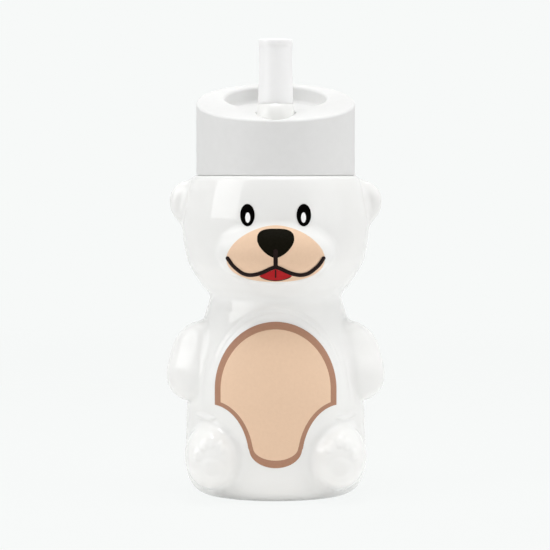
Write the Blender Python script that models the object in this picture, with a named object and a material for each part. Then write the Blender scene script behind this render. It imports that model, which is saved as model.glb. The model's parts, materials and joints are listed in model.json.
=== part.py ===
"""Bear-shaped drinking bottle with a screw lid and a flip spout.

The bottle stands on its flat base with the centre of the base at the origin.
+Z is up, the bear faces -Y, and +X is on the viewer's right.
All sizes below are in millimetres. MM turns them into metres as a mesh is made.
"""

import math

import bmesh
import bpy
import numpy as np
from mathutils import Matrix, Vector

MM = 0.001

# General clearances, and how far a cutter runs past the face that it opens
GAP = 0.3
THREAD_CLEARANCE = 1.0
CUT_MARGIN = 2.0

# Bottle, main sizes. The crease is the bear's neck, between its body and its head.
WALL = 1.6
FLOOR_THICKNESS = 2.0
CREASE_HEIGHT = 78.6
HEAD_HEIGHT = 47.6
BASE_CORNER_HEIGHT = 12.0
BASE_CORNER_INSET = 8.8

# Body below the crease: heights above the base, half widths and half depths
SEAT_HEIGHT = 13.0
SEAT_HALF_WIDTH = 36.0
SEAT_HALF_DEPTH = 33.5
BELLY_LEVEL = 38.0
BELLY_HALF_WIDTH = 35.4
BELLY_HALF_DEPTH = 33.5
CHEST_HEIGHT = 62.0
CHEST_HALF_WIDTH = 31.5
CHEST_HALF_DEPTH = 31.5
COLLAR_DROP = 5.1
COLLAR_HALF_WIDTH = 27.6
COLLAR_HALF_DEPTH = 28.0
CREASE_HALF_WIDTH = 26.3

# Head: heights above the crease or below the shelf round the neck, half widths and half depths
CHIN_RISE = 5.6
CHIN_HALF_WIDTH = 30.0
CHIN_HALF_DEPTH = 29.4
CHEEK_RISE = 15.4
CHEEK_HALF_WIDTH = 35.4
CHEEK_HALF_DEPTH = 34.0
BROW_RISE = 28.4
BROW_HALF_WIDTH = 37.2
BROW_HALF_DEPTH = 35.0
CROWN_DROP = 5.2
CROWN_HALF_WIDTH = 35.2
CROWN_HALF_DEPTH = 34.2
CROWN_EDGE_RADIUS = 1.6
CROWN_TOP_HALF_WIDTH = 33.3
CROWN_TOP_HALF_DEPTH = 33.4

# Arms: an upper and a lower swelling on each side
ARM_CENTRE = (32.0, -4.5, 56.0)
ARM_RADII = (10.0, 13.0, 13.8)
ARM_LEAN = 20.0
HAND_CENTRE = (34.7, -7.5, 46.9)
HAND_RADII = (8.7, 11.0, 9.0)
ARM_BLEND = 2.6

# Ears: a rounded disc with a shallow dish in front, placed from the middle of the crease
EAR_PLACE = (33.6, -1.0, 37.0)
EAR_RADII = (8.4, 5.2, 9.5)
EAR_LEAN = -28.0
EAR_BLEND = 1.4
EAR_DISH_PLACE = (38.4, -7.6, 38.0)
EAR_DISH_RADII = (3.6, 4.4, 5.4)
EAR_DISH_BLEND = 1.2

# Legs: a swelling with a flattened sole on each side of the belly
LEG_CENTRE = (24.4, -22.0, 17.6)
LEG_RADII = (11.2, 17.0, 13.2)
SOLE_FACE = 36.6
SOLE_BLEND = 5.0
LEG_BLEND = 4.0

# Muzzle dome, placed from the middle of the crease, and belly dome
MUZZLE_PLACE = (0.0, -26.0, 18.8)
MUZZLE_RADII = (22.6, 15.2, 12.9)
MUZZLE_BLEND = 2.2
BELLY_CENTRE = (0.0, -18.0, 42.5)
BELLY_RADII = (28.6, 20.2, 32.6)
BELLY_BLEND = 1.8

# Neck and its screw thread, which starts above the shelf
NECK_RADIUS = 27.0
NECK_WALL = 2.0
NECK_HEIGHT = 13.8
THREAD_PITCH = 4.0
THREAD_DEPTH = 1.5
THREAD_ROOT_WIDTH = 1.8
THREAD_CREST_WIDTH = 0.8
THREAD_TURNS = 1.1
THREAD_RISE = 4.0
THREAD_SINK = 0.5
THREAD_RUN_OUT = 0.125
THREAD_END_SHARE = 0.12
LID_THREAD_DEPTH = 1.6

# Neck gasket
GASKET_THICKNESS = 1.6
GASKET_WIDTH = 2.8
GASKET_INSET = 0.6

# Lid: a plain skirt under a top that slopes down to the front, this far above its seat
LID_FOOT_GAP = 0.6
LID_WALL = 2.1
LID_FRONT_RISE = 5.4
LID_SLOPE = 15.0
LID_RIM_RADIUS = 1.4
LID_FOOT_CHAMFER = 0.3
LID_PLATE = 2.0
LID_PLUG_GAP = 0.4
RECESS_SIDE_RIM = 11.2
RECESS_SETBACK = 6.5
RECESS_DEPTH = 6.6
RECESS_FILLET = 0.8

# Flip spout: the ball that turns in the lid, set back from the neck's bore
HUB_RADIUS = 9.0
HUB_SETBACK = 8.0
HUB_SINK = 2.25
PIN_RADIUS = 1.4
PIN_REACH = 13.4
FLOW_RADIUS = 3.0
NIPPLE_RADIUS = 4.5
NIPPLE_LENGTH = 9.0
SOCKET_WALL = 1.5
SOCKET_BOSS_DROP = 3.0

# Mouthpiece that stands on the ball, with its reach above the ball's centre
MOUTHPIECE_REACH = 30.92
MOUTHPIECE_BASE_RADIUS = 6.85
MOUTHPIECE_WAIST_RADIUS = 6.5
MOUTHPIECE_LIP_RADIUS = 6.7
MOUTHPIECE_LIP_HEIGHT = 2.8
MOUTHPIECE_LIP_STEP = 0.6
MOUTHPIECE_EDGE = 0.6
MOUTHPIECE_FOOT = 3.0
MOUTHPIECE_BORE = 3.5
FOLD_CLEARANCE = 0.6
TROUGH_WALL = 1.6

# Seal below the ball, straw and air valve. The straw swings round clear of the crease.
SEAL_OUTER_RADIUS = 5.5
SEAL_DROP = 10.6
SEAL_SHELF = 2.0
STRAW_RADIUS = 4.0
STRAW_WALL = 0.9
STRAW_FOOT_GAP = 2.5
STRAW_SWING_ROOM = 3.2
STEM_WALL = 1.9
STEM_DEPTH = 6.6
VALVE_INSET = 8.3
VALVE_RADIUS = 2.8
VALVE_THICKNESS = 1.6
VALVE_LIP_LENGTH = 3.6
VALVE_LIP_INSET = 0.7
VALVE_LIP_PINCH = 0.25
VALVE_BOSS_WALL = 1.5
VALVE_HOLE_RADIUS = 0.7

# Printed films. The face's places are above the crease.
FILM_GAP = 0.4
FILM_THICKNESS = 0.25
FILM_SPACING = 4.8
EYE_PLACE = (10.85, 33.2)
EYE_SIZE = (2.8, 4.2)
MUZZLE_PRINT_RISE = 16.6
MUZZLE_PRINT_HALF_WIDTH = 18.9
MUZZLE_PRINT_UPPER_HEIGHT = 13.1
MUZZLE_PRINT_UPPER_POWER = 1.8
MUZZLE_PRINT_LOWER_HEIGHT = 8.7
MUZZLE_PRINT_LOWER_POWER = 2.2
BELLY_PRINT_TOP = 71.2
BELLY_PRINT_SHOULDER = 42.0
BELLY_PRINT_HALF_WIDTH = 23.5
BELLY_PRINT_LEG_MARGIN = (3.4, 7.4)
BELLY_PRINT_LEG_END = 175.0
BELLY_PRINT_FOOT_START = -20.0
BELLY_PRINT_FOOT_HALF_WIDTH = 9.6
BELLY_PRINT_BOTTOM = 14.8

# Facets
BODY_SIDES = 66
BODY_ROWS = 50
CAVITY_SIDES = 32
CAVITY_ROWS = 22
LID_SIDES = 56
RING_SIDES = 28
SMALL_SIDES = 16
THREAD_SIDES = 28
FILM_SIDES = 32
SPHERE_STEPS = 12
EDGE_STEPS = 3
EAR_SPAN = 9.0
LEG_SPAN = 16.0

# How the body's radius is searched for: first in steps, then by halving the last one
SEARCH_STEP = 0.5
SEARCH_HALVINGS = 14

# Colours as red, green and blue
WHITE_GLOSS = (0.90, 0.90, 0.89)
WHITE_MATTE = (0.88, 0.88, 0.87)
SILICONE_WHITE = (0.86, 0.85, 0.84)
TAN = (0.78, 0.56, 0.40)
INK_BLACK = (0.01, 0.01, 0.01)

# Worked out from the sizes above
LID_INNER_RADIUS = NECK_RADIUS + THREAD_DEPTH + THREAD_CLEARANCE
LID_RADIUS = LID_INNER_RADIUS + LID_WALL
SLOPE = math.radians(LID_SLOPE)
RECESS_RADIUS = LID_RADIUS - RECESS_SIDE_RIM
VALVE_PLACE = RECESS_SETBACK + RECESS_RADIUS - VALVE_INSET
HUB_FORWARD = NECK_RADIUS - NECK_WALL - HUB_SETBACK
CREASE_HALF_DEPTH = HUB_FORWARD + STRAW_RADIUS + STRAW_SWING_ROOM + WALL
SHELF_HEIGHT = CREASE_HEIGHT + HEAD_HEIGHT
NECK_TOP = SHELF_HEIGHT + NECK_HEIGHT
THREAD_START = SHELF_HEIGHT + THREAD_RISE
LID_BOTTOM = SHELF_HEIGHT + LID_FOOT_GAP
GASKET_BOTTOM = NECK_TOP + GAP
LID_SEAT = GASKET_BOTTOM + GASKET_THICKNESS + GAP
LID_TOP_AT_AXIS = LID_SEAT + LID_FRONT_RISE + LID_RADIUS * math.tan(SLOPE)
HUB_HEIGHT = LID_TOP_AT_AXIS - HUB_FORWARD * math.tan(SLOPE) - HUB_SINK / math.cos(SLOPE)
HUB_CENTRE = Vector((0.0, -HUB_FORWARD, HUB_HEIGHT))
SOCKET_RADIUS = HUB_RADIUS + GAP
HUB_FLAT = math.sqrt(HUB_RADIUS ** 2 - MOUTHPIECE_BASE_RADIUS ** 2)
SEAL_SEAT = HUB_HEIGHT - SEAL_DROP
STRAW_TOP = SEAL_SEAT - SEAL_SHELF - GAP
STEM_RADIUS = STRAW_RADIUS + GAP + STEM_WALL
STEM_BOTTOM = STRAW_TOP + GAP - STEM_DEPTH
CAVITY_TOP = SHELF_HEIGHT - WALL
BODY_REACH = ARM_CENTRE[0] + ARM_RADII[0] + HAND_RADII[0]


def clear_scene():
    for item in list(bpy.data.objects):
        bpy.data.objects.remove(item, do_unlink=True)


def make_material(name, colour, roughness, metallic=0.0):
    material = bpy.data.materials.new(name)
    material.use_nodes = True
    shader = material.node_tree.nodes["Principled BSDF"]
    shader.inputs["Base Color"].default_value = (*colour, 1.0)
    shader.inputs["Roughness"].default_value = roughness
    shader.inputs["Metallic"].default_value = metallic
    return material


def place_object(name, mesh_data, material=None, parent=None, smooth=40.0):
    """Put a bmesh, given in millimetres about its own origin, into the scene."""
    bmesh.ops.recalc_face_normals(mesh_data, faces=mesh_data.faces)
    bmesh.ops.scale(mesh_data, vec=(MM, MM, MM), verts=mesh_data.verts)
    mesh = bpy.data.meshes.new(name)
    mesh_data.to_mesh(mesh)
    mesh_data.free()
    mesh.shade_smooth()
    mesh.set_sharp_from_angle(angle=math.radians(smooth))
    item = bpy.data.objects.new(name, mesh)
    bpy.context.scene.collection.objects.link(item)
    if material is not None:
        mesh.materials.append(material)
    if parent is not None:
        item.parent = parent
    return item


def make_guide(name, mesh_data):
    """A cutter or an added shape, which is used by a Boolean and isn't a piece."""
    item = place_object(name, mesh_data)
    item.hide_render = True
    item.display_type = "WIRE"
    return item


def combine(target, guide, operation):
    modifier = target.modifiers.new(guide.name, "BOOLEAN")
    modifier.operation = operation
    modifier.solver = "EXACT"
    modifier.object = guide


def stack_rings(rings):
    """A closed bmesh through rings of points, with a flat face at each end."""
    shape = bmesh.new()
    loops = [[shape.verts.new(point) for point in ring] for ring in rings]
    sides = len(loops[0])
    for low, high in zip(loops, loops[1:]):
        for i in range(sides):
            j = (i + 1) % sides
            shape.faces.new((low[i], low[j], high[j], high[i]))
    shape.faces.new(list(reversed(loops[0])))
    shape.faces.new(loops[-1])
    return shape


def turn_profile(profile, sides, centre=(0.0, 0.0)):
    """A closed outline of (radius, height) points turned about a vertical line."""
    shape = bmesh.new()
    axis = Vector((centre[0], centre[1], 0.0))
    verts = [shape.verts.new((centre[0] + r, centre[1], z)) for r, z in profile]
    edges = [shape.edges.new((verts[i - 1], verts[i])) for i in range(len(verts))]
    bmesh.ops.spin(
        shape,
        geom=verts + edges,
        cent=axis,
        axis=(0.0, 0.0, 1.0),
        angle=2.0 * math.pi,
        steps=sides,
        use_merge=True,
    )
    bmesh.ops.remove_doubles(shape, verts=shape.verts, dist=0.001)
    loose = [edge for edge in shape.edges if not edge.link_faces]
    bmesh.ops.delete(shape, geom=loose, context="EDGES")
    return shape


def arc_points(centre, radius, start, end, count):
    """Points on an arc, from one angle in degrees to the other."""
    angles = [math.radians(start + (end - start) * i / count) for i in range(count + 1)]
    return [(centre[0] + radius * math.cos(a), centre[1] + radius * math.sin(a)) for a in angles]


def rod(radius, start, end, sides):
    """A closed cylinder between two points."""
    start = Vector(start)
    end = Vector(end)
    along = end - start
    turn = along.to_track_quat("Z", "Y").to_matrix().to_4x4()
    shape = bmesh.new()
    bmesh.ops.create_cone(
        shape,
        cap_ends=True,
        segments=sides,
        radius1=radius,
        radius2=radius,
        depth=along.length,
        matrix=Matrix.Translation((start + end) / 2.0) @ turn,
    )
    return shape


def lid_frame(forward, depth):
    """The frame on the lid's sloping top: forward along the slope, depth below it."""
    tilt = Matrix.Rotation(SLOPE, 4, "X")
    start = Matrix.Translation((0.0, 0.0, LID_TOP_AT_AXIS))
    return start @ tilt @ Matrix.Translation((0.0, forward, -depth))


# The bear's outer surface is the level zero of one smooth field.


def smooth_low(a, b, blend):
    mix = np.clip(0.5 + 0.5 * (b - a) / blend, 0.0, 1.0)
    return b + (a - b) * mix - blend * mix * (1.0 - mix)


def smooth_high(a, b, blend):
    return -smooth_low(-a, -b, blend)


def swelling(x, y, z, centre, radii, lean=0.0):
    """About the distance to an ellipsoid, which may lean in towards the axis."""
    turn = math.radians(lean)
    dx = x - centre[0]
    dy = y - centre[1]
    dz = z - centre[2]
    across = dx * math.cos(turn) + dz * math.sin(turn)
    upward = dz * math.cos(turn) - dx * math.sin(turn)
    near = np.sqrt((across / radii[0]) ** 2 + (dy / radii[1]) ** 2 + (upward / radii[2]) ** 2)
    slope = np.sqrt(
        (across / radii[0] ** 2) ** 2 + (dy / radii[1] ** 2) ** 2 + (upward / radii[2] ** 2) ** 2
    )
    return near * (near - 1.0) / np.maximum(slope, 1e-9)


def smooth_profile(knots, values, at):
    """A smooth curve through (knot, value) pairs that doesn't overshoot them."""
    knots = np.asarray(knots, float)
    values = np.asarray(values, float)
    steps = np.diff(knots)
    rises = np.diff(values) / steps
    slopes = np.zeros(len(knots))
    for i in range(1, len(knots) - 1):
        if rises[i - 1] * rises[i] > 0.0:
            before = 2.0 * steps[i] + steps[i - 1]
            after = steps[i] + 2.0 * steps[i - 1]
            slopes[i] = (before + after) / (before / rises[i - 1] + after / rises[i])
    slopes[0] = rises[0]
    slopes[-1] = rises[-1]
    spot = np.clip(at, knots[0], knots[-1])
    i = np.clip(np.searchsorted(knots, spot, side="right") - 1, 0, len(steps) - 1)
    t = (spot - knots[i]) / steps[i]
    start = (1.0 + 2.0 * t) * (1.0 - t) ** 2 * values[i] + t * (1.0 - t) ** 2 * steps[i] * slopes[i]
    end = t * t * (3.0 - 2.0 * t) * values[i + 1] + t * t * (t - 1.0) * steps[i] * slopes[i + 1]
    return start + end


PROFILE = (
    (0.0, SEAT_HALF_WIDTH, SEAT_HALF_DEPTH),
    (SEAT_HEIGHT, SEAT_HALF_WIDTH, SEAT_HALF_DEPTH),
    (BELLY_LEVEL, BELLY_HALF_WIDTH, BELLY_HALF_DEPTH),
    (CHEST_HEIGHT, CHEST_HALF_WIDTH, CHEST_HALF_DEPTH),
    (CREASE_HEIGHT - COLLAR_DROP, COLLAR_HALF_WIDTH, COLLAR_HALF_DEPTH),
    (CREASE_HEIGHT, CREASE_HALF_WIDTH, CREASE_HALF_DEPTH),
    (CREASE_HEIGHT + CHIN_RISE, CHIN_HALF_WIDTH, CHIN_HALF_DEPTH),
    (CREASE_HEIGHT + CHEEK_RISE, CHEEK_HALF_WIDTH, CHEEK_HALF_DEPTH),
    (CREASE_HEIGHT + BROW_RISE, BROW_HALF_WIDTH, BROW_HALF_DEPTH),
    (SHELF_HEIGHT - CROWN_DROP, CROWN_HALF_WIDTH, CROWN_HALF_DEPTH),
    (SHELF_HEIGHT, CROWN_TOP_HALF_WIDTH, CROWN_TOP_HALF_DEPTH),
)


def on_head(place):
    """A point of the head, given from the middle of the crease."""
    return (place[0], place[1], CREASE_HEIGHT + place[2])


def corner_inset(distance, height, inset):
    """How far a rounded corner draws in at a distance from its flat face."""
    share = np.clip((height - distance) / height, 0.0, 1.0)
    return inset * (1.0 - np.sqrt(1.0 - share ** 2))


def plain_body(x, y, z):
    heights, widths, depths = zip(*PROFILE)
    draw_in = corner_inset(z, BASE_CORNER_HEIGHT, BASE_CORNER_INSET)
    draw_in = draw_in + corner_inset(SHELF_HEIGHT - z, CROWN_EDGE_RADIUS, CROWN_EDGE_RADIUS)
    width = smooth_profile(heights, widths, z) - draw_in
    depth = smooth_profile(heights, depths, z) - draw_in
    near = np.sqrt((x / width) ** 2 + (y / depth) ** 2)
    return (near - 1.0) * np.sqrt(width * depth)


def bear_field(x, y, z):
    """Below zero inside the bear, zero on its surface, and near a distance outside."""
    side = np.abs(x)
    arm = swelling(side, y, z, ARM_CENTRE, ARM_RADII, ARM_LEAN)
    arm = smooth_low(arm, swelling(side, y, z, HAND_CENTRE, HAND_RADII), ARM_BLEND)
    ear = swelling(side, y, z, on_head(EAR_PLACE), EAR_RADII, EAR_LEAN)
    dish = swelling(side, y, z, on_head(EAR_DISH_PLACE), EAR_DISH_RADII)
    ear = smooth_high(ear, -dish, EAR_DISH_BLEND)
    leg = swelling(side, y, z, LEG_CENTRE, LEG_RADII)
    leg = smooth_high(leg, -SOLE_FACE - y, SOLE_BLEND)
    field = plain_body(x, y, z)
    field = smooth_low(field, swelling(side, y, z, BELLY_CENTRE, BELLY_RADII), BELLY_BLEND)
    field = smooth_low(field, swelling(side, y, z, on_head(MUZZLE_PLACE), MUZZLE_RADII), MUZZLE_BLEND)
    field = smooth_low(field, arm, ARM_BLEND)
    field = smooth_low(field, ear, EAR_BLEND)
    return smooth_low(field, leg, LEG_BLEND)


def body_radius(angles, heights):
    """The distance from the axis to the outer surface, for each height and angle."""
    angle, z = np.meshgrid(angles, heights)
    out_x = np.cos(angle)
    out_y = np.sin(angle)
    near = np.full(angle.shape, BODY_REACH)
    searching = np.ones(angle.shape, bool)
    while searching.any() and near.min() > SEARCH_STEP:
        near = np.where(searching, near - SEARCH_STEP, near)
        inside = bear_field(near * out_x, near * out_y, z) < 0.0
        searching = searching & ~inside
    far = near + SEARCH_STEP
    for _ in range(SEARCH_HALVINGS):
        middle = (near + far) / 2.0
        inside = bear_field(middle * out_x, middle * out_y, z) < 0.0
        near = np.where(inside, middle, near)
        far = np.where(inside, far, middle)
    return near


def spaced_values(lowest, highest, count, busy):
    """Steps between two values, closer together round each (value, reach, weight)."""
    fine = np.linspace(lowest, highest, 2000)
    weight = np.ones(len(fine))
    for value, reach, extra in busy:
        weight = weight + extra * np.exp(-(((fine - value) / reach) ** 2))
    total = np.concatenate(([0.0], np.cumsum((weight[1:] + weight[:-1]) / 2.0)))
    return np.interp(np.linspace(0.0, total[-1], count + 1), total, fine)


def row_heights(lowest, highest, count):
    """Heights of the rows, closer where the form turns quickly."""
    ear_height = on_head(EAR_PLACE)[2]
    busy = (
        (0.0, 4.0, 2.2),
        (CREASE_HEIGHT, 5.0, 1.5),
        (ear_height - EAR_RADII[2], 2.5, 1.5),
        (ear_height + EAR_RADII[2], 3.0, 3.0),
        (HAND_CENTRE[2] - HAND_RADII[2], 3.5, 1.8),
        (SHELF_HEIGHT, 1.5, 3.0),
    )
    return spaced_values(lowest, highest, count, busy)


def column_angles(count):
    """Angles round the body, closer at the ears and arms and at the legs' sides."""
    leg = math.degrees(math.atan2(SOLE_FACE, LEG_CENTRE[0]))
    busy = [(side, EAR_SPAN, 4.0) for side in (-180.0, 0.0, 180.0)]
    busy += [(-90.0 + turn * (90.0 - leg), LEG_SPAN, 0.6) for turn in (-1.0, 1.0)]
    return np.radians(spaced_values(-180.0, 180.0, count, busy)[:-1])


def ring_points(radii, angles, z):
    return [(r * math.cos(a), r * math.sin(a), z) for r, a in zip(radii, angles)]


def make_bottle_blank():
    """The solid bear with its plain neck."""
    angles = column_angles(BODY_SIDES)
    heights = row_heights(0.0, SHELF_HEIGHT - GAP / 10.0, BODY_ROWS)
    radii = body_radius(angles, heights)
    rings = [ring_points(row, angles, z) for row, z in zip(radii, heights)]
    neck = [NECK_RADIUS] * BODY_SIDES
    rings.append(ring_points(neck, angles, SHELF_HEIGHT))
    rings.append(ring_points(neck, angles, NECK_TOP))
    return stack_rings(rings)


def cavity_radius(angles, heights):
    """The outer surface drawn in by the wall, also across slopes and corners."""
    levels = [body_radius(angles, heights + shift) for shift in (-WALL, 0.0, WALL)]
    turns = [np.roll(levels[1], shift, axis=1) for shift in (-1, 1)]
    return np.minimum.reduce(levels + turns) - WALL


def make_cavity():
    """The hollow inside the bottle, open through the neck."""
    angles = np.arange(CAVITY_SIDES) * 2.0 * math.pi / CAVITY_SIDES
    heights = row_heights(FLOOR_THICKNESS, CAVITY_TOP, CAVITY_ROWS)
    radii = cavity_radius(angles, heights)
    mouth = NECK_RADIUS - NECK_WALL
    rings = [ring_points(row, angles, z) for row, z in zip(radii, heights)]
    rings.append(ring_points([mouth] * CAVITY_SIDES, angles, CAVITY_TOP + GAP))
    rings.append(ring_points([mouth] * CAVITY_SIDES, angles, NECK_TOP + CUT_MARGIN))
    return stack_rings(rings)


def make_thread(root_radius, crest_radius, start):
    """A helical ridge with ends that sink back into its wall."""
    count = int(round(THREAD_SIDES * THREAD_TURNS))
    rings = []
    for i in range(count + 1):
        share = i / count
        angle = 2.0 * math.pi * THREAD_TURNS * share
        rise = min(1.0, share / THREAD_RUN_OUT, (1.0 - share) / THREAD_RUN_OUT)
        crest = root_radius + (crest_radius - root_radius) * max(rise, THREAD_END_SHARE)
        z = start + THREAD_PITCH * THREAD_TURNS * share
        inner = root_radius - math.copysign(THREAD_SINK, crest_radius - root_radius)
        section = (
            (inner, -THREAD_ROOT_WIDTH / 2.0),
            (root_radius, -THREAD_ROOT_WIDTH / 2.0),
            (crest, -THREAD_CREST_WIDTH / 2.0),
            (crest, THREAD_CREST_WIDTH / 2.0),
            (root_radius, THREAD_ROOT_WIDTH / 2.0),
            (inner, THREAD_ROOT_WIDTH / 2.0),
        )
        rings.append([(r * math.cos(angle), r * math.sin(angle), z + dz) for r, dz in section])
    return stack_rings(rings)


def make_bottle(material):
    bottle = place_object("bottle_body", make_bottle_blank(), material)
    crest = NECK_RADIUS + THREAD_DEPTH
    thread = make_guide("neck_thread", make_thread(NECK_RADIUS, crest, THREAD_START))
    combine(bottle, thread, "UNION")
    combine(bottle, make_guide("bottle_cavity", make_cavity()), "DIFFERENCE")
    return bottle


def make_gasket(material):
    outer = NECK_RADIUS + THREAD_DEPTH - GASKET_INSET / 2.0
    inner = outer - GASKET_WIDTH
    top = GASKET_BOTTOM + GASKET_THICKNESS
    profile = ((outer, top), (outer, GASKET_BOTTOM), (inner, GASKET_BOTTOM), (inner, top))
    return place_object("neck_gasket", turn_profile(profile, LID_SIDES), material)


def lid_top(y):
    return LID_TOP_AT_AXIS + y * math.tan(SLOPE)


def make_lid_blank():
    """The lid's outer form: a round skirt with a rounded rim and a sloping top."""
    angles = [2.0 * math.pi * i / LID_SIDES for i in range(LID_SIDES)]

    def level_ring(radius, z):
        return [(radius * math.cos(a), radius * math.sin(a), z) for a in angles]

    rings = [
        level_ring(LID_RADIUS - LID_FOOT_CHAMFER, LID_BOTTOM),
        level_ring(LID_RADIUS, LID_BOTTOM + LID_FOOT_CHAMFER),
    ]
    for inset, z in arc_points((LID_RIM_RADIUS, -LID_RIM_RADIUS), LID_RIM_RADIUS, 180.0, 90.0, EDGE_STEPS):
        radius = LID_RADIUS - inset
        rings.append(
            [(radius * math.cos(a), radius * math.sin(a), lid_top(radius * math.sin(a)) + z) for a in angles]
        )
    return stack_rings(rings)


def make_underside_cutter():
    """The hollow under the lid's plate, inside the ring that presses the gasket."""
    radius = NECK_RADIUS - NECK_WALL - LID_PLUG_GAP
    angles = [2.0 * math.pi * i / LID_SIDES for i in range(LID_SIDES)]
    drop = (RECESS_DEPTH + LID_PLATE) / math.cos(SLOPE)
    low = [(radius * math.cos(a), radius * math.sin(a), LID_BOTTOM) for a in angles]
    high = [(x, y, lid_top(y) - drop) for x, y, _ in low]
    return stack_rings([low, high])


def fold_direction():
    return Vector((0.0, math.cos(SLOPE), math.sin(SLOPE)))


def make_socket_boss():
    """The bowl that holds the ball, with the stem for the straw below it."""
    bowl = SOCKET_RADIUS + SOCKET_WALL
    start = -math.degrees(math.asin(SOCKET_BOSS_DROP / bowl))
    stop = -math.degrees(math.acos(STEM_RADIUS / bowl))
    arc = arc_points((0.0, 0.0), bowl, start, stop, SPHERE_STEPS // 2)
    curve = [(r, HUB_HEIGHT + z) for r, z in arc]
    floor = SEAL_SEAT - SEAL_SHELF
    profile = [(0.0, curve[0][1])] + curve
    profile += [(STEM_RADIUS, floor), (STEM_RADIUS, STEM_BOTTOM), (0.0, STEM_BOTTOM)]
    return turn_profile(profile, RING_SIDES, (0.0, -HUB_FORWARD))


def make_socket_cutter():
    """The ball's seat, the seal's pocket, the flow bore and the straw's socket."""
    pocket = SEAL_OUTER_RADIUS + GAP
    shelf = SEAL_SEAT - SEAL_SHELF
    straw = STRAW_RADIUS + GAP
    stop = -math.degrees(math.acos(pocket / SOCKET_RADIUS))
    ball = [(r, HUB_HEIGHT + z) for r, z in arc_points((0.0, 0.0), SOCKET_RADIUS, 90.0, stop, SPHERE_STEPS)]
    profile = [(0.0, ball[0][1])] + ball[1:]
    profile += [(pocket, SEAL_SEAT), (FLOW_RADIUS, SEAL_SEAT), (FLOW_RADIUS, shelf)]
    profile += [(straw, shelf), (straw, STEM_BOTTOM - CUT_MARGIN), (0.0, STEM_BOTTOM - CUT_MARGIN)]
    return turn_profile(profile, RING_SIDES, (0.0, -HUB_FORWARD))


def fold_rod(radius, length):
    """A rod from the ball's centre, lying where the mouthpiece folds down to."""
    end = HUB_CENTRE + fold_direction() * length
    return rod(radius, HUB_CENTRE, end, RING_SIDES)


def lid_rod(radius, start_depth, end_depth):
    """A rod square to the sloping top at the air valve's place."""
    start = lid_frame(VALVE_PLACE, start_depth).translation
    end = lid_frame(VALVE_PLACE, end_depth).translation
    return rod(radius, start, end, SMALL_SIDES)


def make_lid(material):
    lid = place_object("lid_shell", make_lid_blank(), material, smooth=30.0)
    neck_start = (0.0, 0.0, LID_BOTTOM - CUT_MARGIN)
    neck_space = rod(LID_INNER_RADIUS, neck_start, (0.0, 0.0, LID_SEAT), LID_SIDES)
    combine(lid, make_guide("lid_neck_space", neck_space), "DIFFERENCE")

    folded_length = MOUTHPIECE_REACH + FOLD_CLEARANCE
    folded_radius = MOUTHPIECE_BASE_RADIUS + FOLD_CLEARANCE
    underside = make_guide("lid_underside", make_underside_cutter())
    kept = fold_rod(folded_radius + TROUGH_WALL, folded_length + TROUGH_WALL)
    combine(underside, make_guide("trough_wall", kept), "DIFFERENCE")
    combine(lid, underside, "DIFFERENCE")
    combine(lid, make_guide("socket_boss", make_socket_boss()), "UNION")

    pocket_depth = RECESS_DEPTH + LID_PLATE
    boss_depth = pocket_depth + VALVE_THICKNESS + 2.0 * GAP
    boss = lid_rod(VALVE_RADIUS + GAP + VALVE_BOSS_WALL, pocket_depth - LID_PLATE / 2.0, boss_depth)
    combine(lid, make_guide("valve_boss", boss), "UNION")
    pocket = lid_rod(VALVE_RADIUS + GAP, pocket_depth, boss_depth + CUT_MARGIN)
    combine(lid, make_guide("valve_pocket", pocket), "DIFFERENCE")
    hole = lid_rod(VALVE_HOLE_RADIUS, RECESS_DEPTH - CUT_MARGIN, boss_depth + CUT_MARGIN)
    combine(lid, make_guide("valve_hole", hole), "DIFFERENCE")

    combine(lid, make_guide("lid_recess", make_recess_cutter()), "DIFFERENCE")
    trough = make_guide("spout_trough", fold_rod(folded_radius, folded_length))
    combine(lid, trough, "DIFFERENCE")
    combine(lid, make_guide("spout_socket", make_socket_cutter()), "DIFFERENCE")
    reach = Vector((PIN_REACH + GAP, 0.0, 0.0))
    pin_bore = rod(PIN_RADIUS + GAP, HUB_CENTRE - reach, HUB_CENTRE + reach, SMALL_SIDES)
    combine(lid, make_guide("pin_bore", pin_bore), "DIFFERENCE")

    crest = LID_INNER_RADIUS - LID_THREAD_DEPTH
    start = THREAD_START - THREAD_PITCH / 2.0
    thread = make_guide("lid_thread", make_thread(LID_INNER_RADIUS, crest, start))
    combine(lid, thread, "UNION")
    return lid


def make_recess_cutter():
    """The round recess behind the spout, with a small fillet round its floor."""
    profile = [(0.0, 2.0 * RECESS_DEPTH), (RECESS_RADIUS, 2.0 * RECESS_DEPTH)]
    centre = (RECESS_RADIUS - RECESS_FILLET, RECESS_FILLET)
    profile += arc_points(centre, RECESS_FILLET, 0.0, -90.0, EDGE_STEPS)
    profile += [(0.0, 0.0)]
    shape = turn_profile(profile, LID_SIDES)
    place = lid_frame(RECESS_SETBACK, RECESS_DEPTH)
    bmesh.ops.transform(shape, matrix=place, verts=shape.verts)
    return shape


def make_spout_pivot():
    """The empty on the spout's hinge line, which carries the ball and mouthpiece."""
    pivot = bpy.data.objects.new("spout_pivot", None)
    pivot.location = HUB_CENTRE * MM
    bpy.context.scene.collection.objects.link(pivot)
    return pivot


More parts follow.
